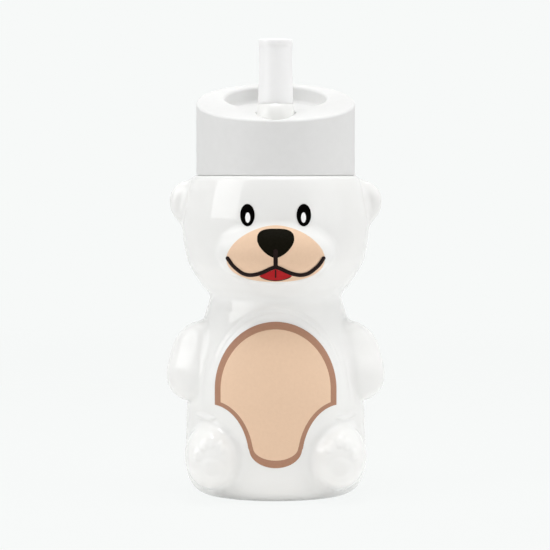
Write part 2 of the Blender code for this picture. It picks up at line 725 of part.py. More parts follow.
def make_hub(material, pivot):
    """The ball with a flat top, a nipple for the mouthpiece and two pivot pins."""
    flat_angle = math.degrees(math.asin(HUB_FLAT / HUB_RADIUS))
    low_angle = -math.degrees(math.acos(FLOW_RADIUS / HUB_RADIUS))
    profile = arc_points((0.0, 0.0), HUB_RADIUS, flat_angle, low_angle, SPHERE_STEPS)
    top = HUB_FLAT + NIPPLE_LENGTH
    profile += [(FLOW_RADIUS, top), (NIPPLE_RADIUS, top), (NIPPLE_RADIUS, HUB_FLAT)]
    hub = place_object("spout_hub", turn_profile(profile, RING_SIDES), material, pivot)
    for side in (-1.0, 1.0):
        start = (side * (FLOW_RADIUS + HUB_RADIUS) / 2.0, 0.0, 0.0)
        end = (side * PIN_REACH, 0.0, 0.0)
        pin = make_guide("hub_pin", rod(PIN_RADIUS, start, end, SMALL_SIDES))
        pin.parent = pivot
        combine(hub, pin, "UNION")
    return hub


def make_mouthpiece(material, pivot):
    bottom = HUB_FLAT + GAP
    top = MOUTHPIECE_REACH
    sleeve = HUB_FLAT + NIPPLE_LENGTH + GAP
    lip = top - MOUTHPIECE_LIP_HEIGHT
    step = MOUTHPIECE_LIP_STEP / 2.0
    edge = MOUTHPIECE_EDGE
    profile = [(NIPPLE_RADIUS + GAP, bottom), (NIPPLE_RADIUS + GAP, sleeve), (MOUTHPIECE_BORE, sleeve)]
    profile += arc_points((MOUTHPIECE_BORE + edge, top - edge), edge, 180.0, 90.0, 2)
    profile += arc_points((MOUTHPIECE_LIP_RADIUS - edge, top - edge), edge, 90.0, 0.0, 2)
    profile += [(MOUTHPIECE_LIP_RADIUS, lip + step), (MOUTHPIECE_WAIST_RADIUS, lip - step)]
    profile += [(MOUTHPIECE_BASE_RADIUS, bottom + MOUTHPIECE_FOOT), (MOUTHPIECE_BASE_RADIUS, bottom)]
    return place_object("mouthpiece", turn_profile(profile, RING_SIDES), material, pivot)


def make_spout_seal(material):
    """The soft collar whose dished top follows the ball."""
    inner = -math.degrees(math.acos(FLOW_RADIUS / SOCKET_RADIUS))
    outer = -math.degrees(math.acos(SEAL_OUTER_RADIUS / SOCKET_RADIUS))
    curve = [(r, HUB_HEIGHT + z) for r, z in arc_points((0.0, 0.0), SOCKET_RADIUS, inner, outer, EDGE_STEPS)]
    bottom = SEAL_SEAT + GAP
    profile = curve + [(SEAL_OUTER_RADIUS, bottom), (FLOW_RADIUS, bottom)]
    return place_object("spout_seal", turn_profile(profile, RING_SIDES, (0.0, -HUB_FORWARD)), material)


def make_straw(material):
    foot = FLOOR_THICKNESS + STRAW_FOOT_GAP
    inner = STRAW_RADIUS - STRAW_WALL
    profile = ((STRAW_RADIUS, STRAW_TOP), (STRAW_RADIUS, foot), (inner, foot), (inner, STRAW_TOP))
    return place_object("drinking_straw", turn_profile(profile, SMALL_SIDES, (0.0, -HUB_FORWARD)), material)


def make_valve(material):
    """A small plug with a flat lip that points down into the bottle."""
    shape = rod(VALVE_RADIUS, (0.0, 0.0, -VALVE_THICKNESS), (0.0, 0.0, 0.0), SMALL_SIDES)
    base = [face for face in shape.faces if face.normal.z < -0.5]
    bmesh.ops.inset_region(shape, faces=base, thickness=VALVE_LIP_INSET)
    moved = bmesh.ops.extrude_discrete_faces(shape, faces=base)["faces"]
    verts = list({vert for face in moved for vert in face.verts})
    bmesh.ops.translate(shape, vec=(0.0, 0.0, -VALVE_LIP_LENGTH), verts=verts)
    bmesh.ops.scale(shape, vec=(1.0, VALVE_LIP_PINCH, 1.0), verts=verts)
    place = lid_frame(VALVE_PLACE, RECESS_DEPTH + LID_PLATE + GAP)
    bmesh.ops.transform(shape, matrix=place, verts=shape.verts)
    return place_object("vent_valve", shape, material)


def front_surface(x, z, lift):
    """How far forward the bear's surface is at a point seen from the front."""
    near = np.full(np.shape(x), -BODY_REACH)
    far = np.zeros(np.shape(x))
    for _ in range(2 * SEARCH_HALVINGS):
        middle = (near + far) / 2.0
        inside = bear_field(x, middle, z) < lift
        far = np.where(inside, middle, far)
        near = np.where(inside, near, middle)
    return far


def make_film(name, outline, material):
    """A thin skin over the bear inside an outline of (x, z) points."""
    centre_x = sum(point[0] for point in outline) / len(outline)
    centre_z = sum(point[1] for point in outline) / len(outline)
    reach = max(math.hypot(x - centre_x, z - centre_z) for x, z in outline)
    layers = max(2, int(round(reach / FILM_SPACING)))
    shape = bmesh.new()
    skins = []
    for lift in (FILM_GAP, FILM_GAP + FILM_THICKNESS):
        rings = []
        for i in range(1, layers + 1):
            share = i / layers
            x = np.array([centre_x + (point[0] - centre_x) * share for point in outline])
            z = np.array([centre_z + (point[1] - centre_z) * share for point in outline])
            y = front_surface(x, z, lift)
            rings.append([shape.verts.new(point) for point in zip(x, y, z)])
        y = front_surface(np.array([centre_x]), np.array([centre_z]), lift)
        skins.append((shape.verts.new((centre_x, y[0], centre_z)), rings))
    for middle, rings in skins:
        for i in range(len(outline)):
            j = (i + 1) % len(outline)
            shape.faces.new((middle, rings[0][i], rings[0][j]))
            for low, high in zip(rings, rings[1:]):
                shape.faces.new((low[i], high[i], high[j], low[j]))
    back = skins[0][1][-1]
    front = skins[1][1][-1]
    for i in range(len(outline)):
        j = (i + 1) % len(outline)
        shape.faces.new((back[i], front[i], front[j], back[j]))
    return place_object(name, shape, material, smooth=60.0)


def muzzle_outline():
    """A lens with soft corners: two squared half ovals that meet at its widest level."""
    level = CREASE_HEIGHT + MUZZLE_PRINT_RISE
    points = []
    for x, z in arc_points((0.0, 0.0), 1.0, 0.0, 360.0, FILM_SIDES)[:-1]:
        height = MUZZLE_PRINT_UPPER_HEIGHT if z > 0.0 else MUZZLE_PRINT_LOWER_HEIGHT
        power = MUZZLE_PRINT_UPPER_POWER if z > 0.0 else MUZZLE_PRINT_LOWER_POWER
        across = math.copysign(abs(x) ** (2.0 / power), x)
        upward = math.copysign(abs(z) ** (2.0 / power), z)
        points.append((MUZZLE_PRINT_HALF_WIDTH * across, level + height * upward))
    return points


def stretched_arc(centre, radii, start, end, count):
    """Points on an oval arc about a centre, from one angle in degrees to the other."""
    arc = arc_points((0.0, 0.0), 1.0, start, end, count)
    return [(centre[0] + radii[0] * x, centre[1] + radii[1] * z) for x, z in arc]


def belly_outline():
    """A round-topped patch that narrows between the legs in two hollow curves."""
    half = BELLY_PRINT_HALF_WIDTH
    foot = BELLY_PRINT_FOOT_HALF_WIDTH
    leg = (LEG_CENTRE[0], LEG_CENTRE[2])
    leg_radii = [LEG_RADII[i] + BELLY_PRINT_LEG_MARGIN[i // 2] for i in (0, 2)]
    leg_start = 90.0 + math.degrees(math.asin(max(0.0, leg[0] - half) / leg_radii[0]))
    shoulder = (0.0, BELLY_PRINT_SHOULDER)
    side = stretched_arc(shoulder, (half, BELLY_PRINT_TOP - shoulder[1]), 90.0, 0.0, SPHERE_STEPS)
    side += stretched_arc(leg, leg_radii, leg_start, BELLY_PRINT_LEG_END, SPHERE_STEPS // 2)
    foot_top = side[-1][1]
    foot_radii = (foot, foot_top - BELLY_PRINT_BOTTOM)
    side += stretched_arc((0.0, foot_top), foot_radii, BELLY_PRINT_FOOT_START, -90.0, EDGE_STEPS)
    other = [(-x, z) for x, z in reversed(side[1:-1])]
    return side + other


def make_films(skin, ink):
    make_film("belly_label", belly_outline(), skin)
    make_film("muzzle_label", muzzle_outline(), skin)
    for name, side in (("eye_label_left", -1.0), ("eye_label_right", 1.0)):
        middle = (side * EYE_PLACE[0], CREASE_HEIGHT + EYE_PLACE[1])
        make_film(name, stretched_arc(middle, EYE_SIZE, 0.0, 360.0, SMALL_SIDES)[:-1], ink)


def main():
    clear_scene()
    gloss = make_material("gloss_white", WHITE_GLOSS, 0.12)
    matte = make_material("matte_white", WHITE_MATTE, 0.45)
    silicone = make_material("clear_silicone", SILICONE_WHITE, 0.35)
    film = make_material("tan_print", TAN, 0.35)
    ink = make_material("black_print", INK_BLACK, 0.3)
    make_bottle(gloss)
    make_gasket(silicone)
    make_lid(matte)
    pivot = make_spout_pivot()
    make_hub(matte, pivot)
    make_mouthpiece(silicone, pivot)
    make_spout_seal(silicone)
    make_straw(silicone)
    make_valve(silicone)
    make_films(film, ink)


main()
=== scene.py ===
import json
import math

import bmesh
import bpy
import numpy as np
from mathutils import Matrix, Vector


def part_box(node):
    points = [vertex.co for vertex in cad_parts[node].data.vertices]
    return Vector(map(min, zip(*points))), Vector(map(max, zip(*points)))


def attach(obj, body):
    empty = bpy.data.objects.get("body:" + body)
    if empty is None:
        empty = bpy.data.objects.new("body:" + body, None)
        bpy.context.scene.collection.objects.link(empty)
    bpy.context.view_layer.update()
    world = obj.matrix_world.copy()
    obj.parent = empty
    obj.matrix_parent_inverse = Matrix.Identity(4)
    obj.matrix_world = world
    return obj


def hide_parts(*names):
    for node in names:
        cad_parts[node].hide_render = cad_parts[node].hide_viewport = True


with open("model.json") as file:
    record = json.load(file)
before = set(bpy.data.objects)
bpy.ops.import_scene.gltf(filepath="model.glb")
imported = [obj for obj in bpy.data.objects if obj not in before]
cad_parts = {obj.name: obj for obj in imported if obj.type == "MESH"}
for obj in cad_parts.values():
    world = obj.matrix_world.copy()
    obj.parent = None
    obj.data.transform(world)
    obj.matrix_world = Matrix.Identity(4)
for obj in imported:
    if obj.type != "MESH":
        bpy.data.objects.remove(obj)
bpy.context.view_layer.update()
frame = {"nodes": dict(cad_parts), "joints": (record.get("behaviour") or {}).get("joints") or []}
mm = 0.001
tiny = 1e-9   # keeps a divisor away from zero
print("frame loaded:", len(frame["nodes"]), "nodes")

# places read from the frame, in millimetres
lidLow, lidHigh = [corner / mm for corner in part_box("lid_shell")]
sealLow, sealHigh = [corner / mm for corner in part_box("spout_seal")]
strawLow, strawHigh = [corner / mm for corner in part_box("drinking_straw")]
gasketLow, gasketHigh = [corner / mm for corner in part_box("neck_gasket")]
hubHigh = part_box("spout_hub")[1] / mm
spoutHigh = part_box("mouthpiece")[1] / mm
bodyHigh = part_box("bottle_body")[1] / mm
hinge = next(joint for joint in frame["joints"] if joint["name"] == "spout_flip")
hubCentre = Vector(hinge["pos_m"]) / mm


# Materials: each is a principled shader with small procedural changes in colour, roughness and bump

def newMaterial(name, colour, roughness, **sockets):
    material = bpy.data.materials.new(name)
    material.use_nodes = True
    shader = material.node_tree.nodes["Principled BSDF"]
    shader.inputs["Base Color"].default_value = (*colour, 1.0)
    shader.inputs["Roughness"].default_value = roughness
    for socket, value in sockets.items():
        shader.inputs[socket.replace("_", " ")].default_value = value
    return material


def noiseInto(material, scale, detail, kind, into, result, socket):
    # a noise goes through one node of that kind and on into a socket of the shader
    nodes, links = material.node_tree.nodes, material.node_tree.links
    place = nodes.new("ShaderNodeTexCoord")
    noise = nodes.new("ShaderNodeTexNoise")
    noise.inputs["Scale"].default_value = scale
    noise.inputs["Detail"].default_value = detail
    node = nodes.new(kind)
    links.new(place.outputs["Object"], noise.inputs["Vector"])
    links.new(noise.outputs["Fac"], node.inputs[into])
    links.new(node.outputs[result], nodes["Principled BSDF"].inputs[socket])
    return node


def varyRoughness(material, scale, low, high):
    spread = noiseInto(material, scale, 3.0, "ShaderNodeMapRange", "Value", "Result", "Roughness")
    spread.inputs["To Min"].default_value = low
    spread.inputs["To Max"].default_value = high


def varyColour(material, scale, dark, light, detail=3.0, ends=(0.3, 0.7)):
    ramp = noiseInto(material, scale, detail, "ShaderNodeValToRGB", "Fac", "Color", "Base Color").color_ramp
    for stop, place, colour in zip(ramp.elements, ends, (dark, light)):
        stop.position = place
        stop.color = (*colour, 1.0)


def addBump(material, scale, detail, height):
    bump = noiseInto(material, scale, detail, "ShaderNodeBump", "Height", "Normal", "Normal")
    bump.inputs["Strength"].default_value = 1.0
    bump.inputs["Distance"].default_value = height


def glossyPlastic():
    material = newMaterial("glossyPlastic", (0.88, 0.88, 0.865), 0.04, Subsurface_Weight=0.2,
                           Subsurface_Radius=(1.0, 1.0, 1.0), Subsurface_Scale=0.002)
    varyColour(material, 40.0, dark=(0.872, 0.872, 0.856), light=(0.888, 0.888, 0.874))
    varyRoughness(material, 220.0, low=0.02, high=0.06)
    addBump(material, 90.0, detail=1.0, height=0.00002)   # faint waviness of blown plastic
    return material


def mattePlastic():
    material = newMaterial("mattePlastic", (0.765, 0.765, 0.759), 0.5, Specular_IOR_Level=0.3)
    varyColour(material, 300.0, dark=(0.757, 0.757, 0.751), light=(0.773, 0.773, 0.767))
    varyRoughness(material, 700.0, low=0.44, high=0.56)
    addBump(material, 4200.0, detail=2.0, height=0.00001)   # fine moulded grain
    return material


def satinPlastic():
    material = newMaterial("satinPlastic", (0.84, 0.84, 0.82), 0.3)
    varyColour(material, 260.0, dark=(0.83, 0.83, 0.81), light=(0.85, 0.85, 0.832))
    varyRoughness(material, 600.0, low=0.26, high=0.36)
    return material


def softSilicone():
    material = newMaterial("softSilicone", (0.965, 0.96, 0.95), 0.32, Subsurface_Weight=0.8, IOR=1.41,
                           Subsurface_Radius=(1.0, 1.0, 1.0), Subsurface_Scale=0.001)
    varyColour(material, 180.0, dark=(0.958, 0.953, 0.943), light=(0.972, 0.967, 0.958))
    varyRoughness(material, 500.0, low=0.3, high=0.4)
    return material


def clearStraw():
    material = newMaterial("clearStraw", (0.87, 0.87, 0.87), 0.28, Transmission_Weight=0.35)
    varyRoughness(material, 300.0, low=0.24, high=0.34)
    return material


def printInk(name, dark, light, roughness=0.5, gloss=0.12):
    material = newMaterial(name, light, roughness, Specular_IOR_Level=gloss)
    varyColour(material, 900.0, dark, light, detail=2.0)
    varyRoughness(material, 1200.0, low=roughness - 0.05, high=roughness + 0.07)
    return material


# Mesh helpers

def shapeObject(name, points, faces, move=None):
    mesh = bpy.data.meshes.new(name)
    mesh.from_pydata([tuple(point) for point in points], [], faces)
    if move is not None:
        mesh.transform(move)
    item = bpy.data.objects.new(name, mesh)
    bpy.context.scene.collection.objects.link(item)
    return item


def addPiece(name, points, faces, material, body, replaced, sharp):
    points = [[mm * float(value) for value in point] for point in points]
    piece = shapeObject(name, points, faces)
    piece.data.validate()
    piece.data.update()
    finishPiece(piece, material, body, replaced, sharp)


def finishPiece(piece, material, body, replaced, sharp):
    piece.data.materials.clear()
    piece.data.materials.append(material)
    piece.data.shade_smooth()
    piece.data.set_sharp_from_angle(angle=math.radians(sharp))
    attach(piece, body)
    if replaced:
        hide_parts(*replaced)


def ringFaces(ringCount, sides):
    faces = []
    for ring in range(ringCount - 1):
        low, high = ring * sides, (ring + 1) * sides
        for i in range(sides):
            j = (i + 1) % sides
            faces.append((low + i, low + j, high + j, high + i))
    return faces


def circle(radius, height, sides, centre=(0.0, 0.0)):
    angles = np.arange(sides) * 2.0 * math.pi / sides
    return [(centre[0] + radius * math.cos(a), centre[1] + radius * math.sin(a), height) for a in angles]


def turned(profile, sides, centre=(0.0, 0.0)):
    # a closed outline of (radius, height) turned about a vertical line, outer side going up
    points = [point for radius, height in profile for point in circle(radius, height, sides, centre)]
    last = (len(profile) - 1) * sides
    joins = [(last + i, last + (i + 1) % sides, (i + 1) % sides, i) for i in range(sides)]
    return points, ringFaces(len(profile), sides) + joins


def arc(centre, radius, start, end, steps):
    angles = np.radians(np.linspace(start, end, steps + 1))
    return [(centre[0] + radius * math.cos(a), centre[1] + radius * math.sin(a)) for a in angles]


def softCorner(before, corner, after, radius, steps=4):
    # rounds one corner of an outline with a small curve
    before, corner, after = Vector(before), Vector(corner), Vector(after)
    start = corner + (before - corner).normalized() * radius
    end = corner + (after - corner).normalized() * radius
    curve = []
    for i in range(steps + 1):
        t = i / steps
        curve.append(tuple(start * (1 - t) ** 2 + corner * 2 * t * (1 - t) + end * t * t))
    return curve


def softened(outline, radius):
    # rounds every corner of a closed outline
    curve = []
    for i, corner in enumerate(outline):
        curve += softCorner(outline[i - 1], corner, outline[(i + 1) % len(outline)], radius)
    return curve


# Bear: the outer surface is the level zero of one smooth field, in millimetres

bear = {
    "shelf": 127.0,
    "shelfGap": 0.02,   # how far under the shelf the field's top row lies
    "wall": 1.6,
    "floor": 2.0,
    "floorShare": 0.6,   # the cavity's floor has one ring at this share of its width
    "underside": (   # share of the base's outline, height: a shallow hollow inside the foot ring
        (0.30, 0.8), (0.70, 0.8), (0.76, 0.75), (0.80, 0.55), (0.83, 0.25), (0.86, 0.05), (0.90, 0.0),
    ),
    "baseCorner": (12.0, 8.8),   # height, inset
    "crownEdge": 2.0,
    "profile": (   # height, half width, half depth
        (0.0, 36.0, 33.5), (13.0, 36.0, 33.5), (38.0, 35.4, 33.5), (62.0, 31.5, 31.5),
        (73.5, 27.6, 28.0), (78.6, 26.3, 25.8), (84.2, 30.0, 29.4), (94.0, 35.4, 34.0),
        (107.0, 37.2, 35.0), (121.0, 35.2, 34.2), (126.2, 33.3, 33.4),
    ),
    # each swelling is its centre, its three radii and its lean in degrees
    "arm": ((29.6, -5.8, 56.0), (11.0, 10.0, 13.8), 20.0),
    "hand": ((32.6, -8.4, 46.9), (9.5, 8.5, 9.0), 0.0),
    "armFlat": 3.0,
    "armFaces": 28.0,
    "armBlend": 2.4,
    "handBlend": 6.0,
    "ear": ((33.6, -1.0, 115.6), (8.4, 5.2, 9.5), -28.0),
    "earDish": ((38.4, -10.2, 116.6), (3.8, 4.4, 5.6), 0.0),
    "earBlend": 2.4,
    "dishBlend": 2.6,
    "leg": ((24.4, -22.0, 17.6), (11.2, 17.0, 13.2), 0.0),
    "soleFace": 36.6,
    "soleBlend": 5.0,
    "legBlend": 4.0,
    "muzzle": ((0.0, -26.0, 97.4), (22.6, 15.2, 12.9), 0.0),
    "muzzleBlend": 2.2,
    "belly": ((0.0, -18.0, 42.5), (28.6, 20.2, 32.6), 0.0),
    "bellyBlend": 2.6,
    "reach": 51.0,   # no point of the bear is farther out than this
}

# Relief that the mould presses into the bear: each height is how far it stands out
relief = {
    "front": (12.0, 16.0),   # how far forward the ridges and the folds fade in
    "sole": (24.0, 30.0),   # and the pads
    "bellyRidge": {"size": (26.2, 33.0), "level": 42.5, "height": 0.5, "width": 0.75, "from": 56.0},
    "innerRidge": {"size": (24.6, 30.8), "level": 42.5, "height": 0.28, "width": 0.55, "from": 60.0},
    "ridgeFade": (-6.0, 3.0),
    "toePads": ((6.2, 1.9), (3.6, 5.9), (0.0, 7.0), (-3.5, 4.9)),   # places from the leg's middle
    "toeSize": (1.7, 2.3),
    "palmPad": (0.4, -3.5),
    "palmSize": (4.2, 3.9),
    "padHeight": 0.38,
    "padEdge": (0.7, 1.25),
    "legFold": {"place": (27.4, 33.0), "size": (3.8, 1.0), "height": 0.6},
    "seam": {"height": 0.06, "width": 0.25},
}

bottleMesh = {
    "sides": 240, "rows": 170, "cavityRows": 56, "relaxing": 24,
    # where rows and sides lie closer together: place, spread, how much closer
    "busySides": ((-180.0, 8.0, 2.4), (0.0, 8.0, 2.4), (180.0, 8.0, 2.4)),
    "busyRows": ((0.0, 3.0, 2.5), (78.6, 5.0, 0.6), (125.0, 2.0, 1.5)),
    "busyCavity": ((bear["floor"], 3.0, 1.5), (78.6, 6.0, 0.6)),
    "fineSteps": 4000, "searchStep": 0.5, "halvings": 14,
    "probe": 0.02, "leastSlope": 0.05, "longestMove": 1.0,
}


def smoothLow(a, b, blend):
    mix = np.clip(0.5 + 0.5 * (b - a) / blend, 0.0, 1.0)
    return b + (a - b) * mix - blend * mix * (1.0 - mix)


def smoothHigh(a, b, blend):
    return -smoothLow(-a, -b, blend)


def swelling(x, y, z, shape, flat=2.0, faces=0.0):
    # an egg shape; a flat above 2 gives it a flatter front, and faces turns that front away from the middle
    centre, radii, lean = shape
    lean, faces = math.radians(lean), math.radians(faces)
    dx, dy, dz = x - centre[0], y - centre[1], z - centre[2]
    dx, dy = dx * math.cos(faces) + dy * math.sin(faces), dy * math.cos(faces) - dx * math.sin(faces)
    across = dx * math.cos(lean) + dz * math.sin(lean)
    upward = dz * math.cos(lean) - dx * math.sin(lean)
    outward = np.sqrt((across / radii[0]) ** 2 + (upward / radii[2]) ** 2)
    forward = np.abs(dy) / radii[1]
    near = np.maximum((outward ** flat + forward ** flat) ** (1.0 / flat), tiny)
    slopeOut = np.sqrt((across / radii[0] ** 2) ** 2 + (upward / radii[2] ** 2) ** 2)
    slopeOut = slopeOut * outward ** (flat - 2.0)
    slopeForward = forward ** (flat - 1.0) / radii[1]
    steep = np.sqrt(slopeOut ** 2 + slopeForward ** 2) / near ** (flat - 1.0)
    return (near - 1.0) / np.maximum(steep, tiny)


def smoothProfile(knots, values, at):
    # a curve through the knots that doesn't overshoot them
    steps = np.diff(knots)
    rises = np.diff(values) / steps
    slopes = np.zeros(len(knots))
    for i in range(1, len(knots) - 1):
        if rises[i - 1] * rises[i] > 0.0:
            before = 2.0 * steps[i] + steps[i - 1]
            after = steps[i] + 2.0 * steps[i - 1]
            slopes[i] = (before + after) / (before / rises[i - 1] + after / rises[i])
    slopes[0], slopes[-1] = rises[0], rises[-1]
    spot = np.clip(at, knots[0], knots[-1])
    i = np.clip(np.searchsorted(knots, spot, side="right") - 1, 0, len(steps) - 1)
    t = (spot - knots[i]) / steps[i]
    start = (1.0 + 2.0 * t) * (1.0 - t) ** 2 * values[i] + t * (1.0 - t) ** 2 * steps[i] * slopes[i]
    end = t * t * (3.0 - 2.0 * t) * values[i + 1] + t * t * (t - 1.0) * steps[i] * slopes[i + 1]
    return start + end


def cornerInset(distance, height, inset):
    share = np.clip((height - distance) / height, 0.0, 1.0)
    return inset * (1.0 - np.sqrt(1.0 - share ** 2))


def plainBody(x, y, z):
    heights, widths, depths = np.array(bear["profile"]).T
    drawIn = cornerInset(z, *bear["baseCorner"])
    drawIn = drawIn + cornerInset(bear["shelf"] - z, bear["crownEdge"], bear["crownEdge"])
    width = smoothProfile(heights, widths, z) - drawIn
    depth = smoothProfile(heights, depths, z) - drawIn
    near = np.sqrt((x / width) ** 2 + (y / depth) ** 2)
    return (near - 1.0) * np.sqrt(width * depth)


def plainBear(x, y, z):
    side = np.abs(x)

    def swell(part, *front):
        return swelling(side, y, z, bear[part], *front)

    front = bear["armFlat"], bear["armFaces"]
    arm = smoothLow(swell("arm", *front), swell("hand", *front), bear["handBlend"])
    ear = smoothHigh(swell("ear"), -swell("earDish"), bear["dishBlend"])
    leg = smoothHigh(swell("leg"), -bear["soleFace"] - y, bear["soleBlend"])
    parts = {"belly": swell("belly"), "muzzle": swell("muzzle"), "arm": arm, "ear": ear, "leg": leg}
    field = plainBody(x, y, z)
    for name, part in parts.items():
        field = smoothLow(field, part, bear[name + "Blend"])
    return field


def easeStep(value, low, high):
    t = np.clip((value - low) / (high - low), 0.0, 1.0)
    return t * t * (3.0 - 2.0 * t)


def ovalRidge(x, z, ridge):
    halfWidth, halfHeight = ridge["size"]
    fadeLow, fadeHigh = relief["ridgeFade"]
    near = np.sqrt((x / halfWidth) ** 2 + ((z - ridge["level"]) / halfHeight) ** 2)
    away = (near - 1.0) * math.sqrt(halfWidth * halfHeight)
    shown = easeStep(z, ridge["from"] + fadeLow, ridge["from"] + fadeHigh)
    return ridge["height"] * np.exp(-(away / ridge["width"]) ** 2) * shown


def roundPad(dx, dz, place, size):
    near = np.sqrt(((dx - place[0]) / size[0]) ** 2 + ((dz - place[1]) / size[1]) ** 2)
    return 1.0 - easeStep(near, *relief["padEdge"])


def pressedRelief(x, y, z):
    side = np.abs(x)
    front = easeStep(-y, *relief["front"])
    ridges = np.maximum(ovalRidge(x, z, relief["bellyRidge"]), ovalRidge(x, z, relief["innerRidge"]))
    legX, _, legZ = bear["leg"][0]
    pads = roundPad(side - legX, z - legZ, relief["palmPad"], relief["palmSize"])
    for place in relief["toePads"]:
        pads = np.maximum(pads, roundPad(side - legX, z - legZ, place, relief["toeSize"]))
    fold, seam = relief["legFold"], relief["seam"]
    height = front * ridges + easeStep(-y, *relief["sole"]) * relief["padHeight"] * pads
    height = height + front * fold["height"] * roundPad(side, z, fold["place"], fold["size"])
    return height + seam["height"] * np.exp(-(y / seam["width"]) ** 2)


def bearField(x, y, z):
    return plainBear(x, y, z) - pressedRelief(x, y, z)


def searchRadius(field, angles, heights):
    # comes in from outside until it meets the surface, then halves the last step again and again
    angle, z = np.meshgrid(angles, heights)
    outX, outY = np.cos(angle), np.sin(angle)
    near = np.full(angle.shape, bear["reach"])
    step = bottleMesh["searchStep"]
    searching = np.ones(angle.shape, bool)
    while searching.any() and near.min() > step:
        near = np.where(searching, near - step, near)
        inside = field(near * outX, near * outY, z) < 0.0
        searching = searching & ~inside
    far = near + step
    for _ in range(bottleMesh["halvings"]):
        middle = (near + far) / 2.0
        inside = field(middle * outX, middle * outY, z) < 0.0
        near = np.where(inside, middle, near)
        far = np.where(inside, far, middle)
    return near


def ontoSurface(points, field, rounds=3):
    # moves points along the field's slope until they lie on its level zero
    h = bottleMesh["probe"]
    for _ in range(rounds):
        x, y, z = points[..., 0], points[..., 1], points[..., 2]
        value = field(x, y, z)
        slope = np.stack([
            (field(x + h, y, z) - value) / h,
            (field(x, y + h, z) - value) / h,
            (field(x, y, z + h) - value) / h,
        ], axis=-1)
        length = np.maximum((slope ** 2).sum(-1, keepdims=True), bottleMesh["leastSlope"])
        move = slope * value[..., None] / length
        size = np.sqrt((move ** 2).sum(-1, keepdims=True))
        points = points - move * np.minimum(1.0, bottleMesh["longestMove"] / np.maximum(size, tiny))
    return points


def relaxed(grid, field, rounds):
    # evens out the grid's spacing over the surface; the first and last rows stay
    for _ in range(rounds):
        around = (np.roll(grid, 1, axis=1) + np.roll(grid, -1, axis=1))[1:-1] + grid[2:] + grid[:-2]
        inner = 0.5 * grid[1:-1] + 0.125 * around   # half its own place, half that of its four neighbours
        grid = np.concatenate([grid[:1], ontoSurface(inner, field, 1), grid[-1:]])
    return grid


def doubled(grid):
    # halves the spacing of the rows and of the sides
    wide = np.empty((grid.shape[0], grid.shape[1] * 2, 3))
    wide[:, 0::2] = grid
    wide[:, 1::2] = (grid + np.roll(grid, -1, axis=1)) / 2.0
    tall = np.empty((grid.shape[0] * 2 - 1, grid.shape[1] * 2, 3))
    tall[0::2] = wide
    tall[1::2] = (wide[1:] + wide[:-1]) / 2.0
    return tall


def busySteps(low, high, count, busy):
    # steps from low to high that lie closer together at the busy places
    fine = np.linspace(low, high, bottleMesh["fineSteps"])
    weight = np.ones(len(fine))
    for value, spread, extra in busy:
        weight = weight + extra * np.exp(-((fine - value) / spread) ** 2)
    total = np.concatenate(([0.0], np.cumsum((weight[1:] + weight[:-1]) / 2.0)))
    return np.interp(np.linspace(0.0, total[-1], count + 1), total, fine)


neck = {
    "radius": 27.0, "wall": 2.0, "top": float(bodyHigh.z), "fillet": 0.5, "rim": 0.45, "throat": 0.6,
    "bead": (31.0, 28.2, 0.10, 0.05),   # a low ring on the shoulder that the lid comes down to
    "pitch": 4.0, "depth": 1.5, "rootWidth": 1.8, "crestWidth": 0.8, "turns": 1.1, "start": 130.2,
    "runOut": 0.125, "rows": 56,
}


def threadHeight(angles, z):
    turn = np.mod(angles, 2.0 * math.pi) / (2.0 * math.pi)
    best = np.zeros(len(angles))
    slopeWidth = (neck["rootWidth"] - neck["crestWidth"]) / 2.0
    for lap in (0, 1):
        share = (turn + lap) / neck["turns"]
        away = np.abs(z - neck["start"] - neck["pitch"] * (turn + lap))
        ridge = easeStep(neck["rootWidth"] / 2.0 - away, 0.0, slopeWidth)
        ends = np.clip(np.minimum(share, 1.0 - share) / neck["runOut"], 0.0, 1.0)
        best = np.maximum(best, ridge * easeStep(ends, 0.0, 1.0))
    return neck["depth"] * best


def bearSkin():
    # rows of points on the outer surface, from the base up to the shelf
    angles = np.radians(busySteps(-180.0, 180.0, bottleMesh["sides"], bottleMesh["busySides"])[:-1])
    heights = busySteps(0.0, bear["shelf"] - bear["shelfGap"], bottleMesh["rows"], bottleMesh["busyRows"])
    radii = searchRadius(bearField, angles, heights)
    level = heights[:, None] + np.zeros_like(radii)
    grid = np.stack([radii * np.cos(angles), radii * np.sin(angles), level], axis=-1)
    grid = doubled(relaxed(grid, bearField, bottleMesh["relaxing"]))
    return np.concatenate([grid[:1], ontoSurface(grid[1:-1], bearField), grid[-1:]])


def levelRing(around, radius, z):
    return np.stack([radius * np.cos(around), radius * np.sin(around), np.full(len(around), z)], axis=-1)


def neckRings(around):
    # the bead on the shoulder, the threaded neck, its rim and the throat inside it
    shelf, radius, fillet = bear["shelf"], neck["radius"], neck["fillet"]
    rim, underRim, throat = neck["rim"], neck["top"] - neck["rim"], neck["radius"] - neck["wall"]
    outer, inner, rise, edge = neck["bead"]
    profile = [(outer, shelf), (outer - edge, shelf + rise), (inner + edge, shelf + rise), (inner, shelf)]
    profile += arc((radius + fillet, shelf + fillet), fillet, 270.0, 180.0, 5)
    levels = np.linspace(shelf + fillet, underRim, neck["rows"])[1:]
    profile += [(radius + threadHeight(around, z), z) for z in levels]
    profile += arc((radius - rim, underRim), rim, 0.0, 90.0, 4)[1:]
    profile += arc((throat + rim, underRim), rim, 90.0, 180.0, 4)
    profile.append((throat, shelf - bear["wall"] + neck["throat"]))
    return [levelRing(around, r, z) for r, z in profile]


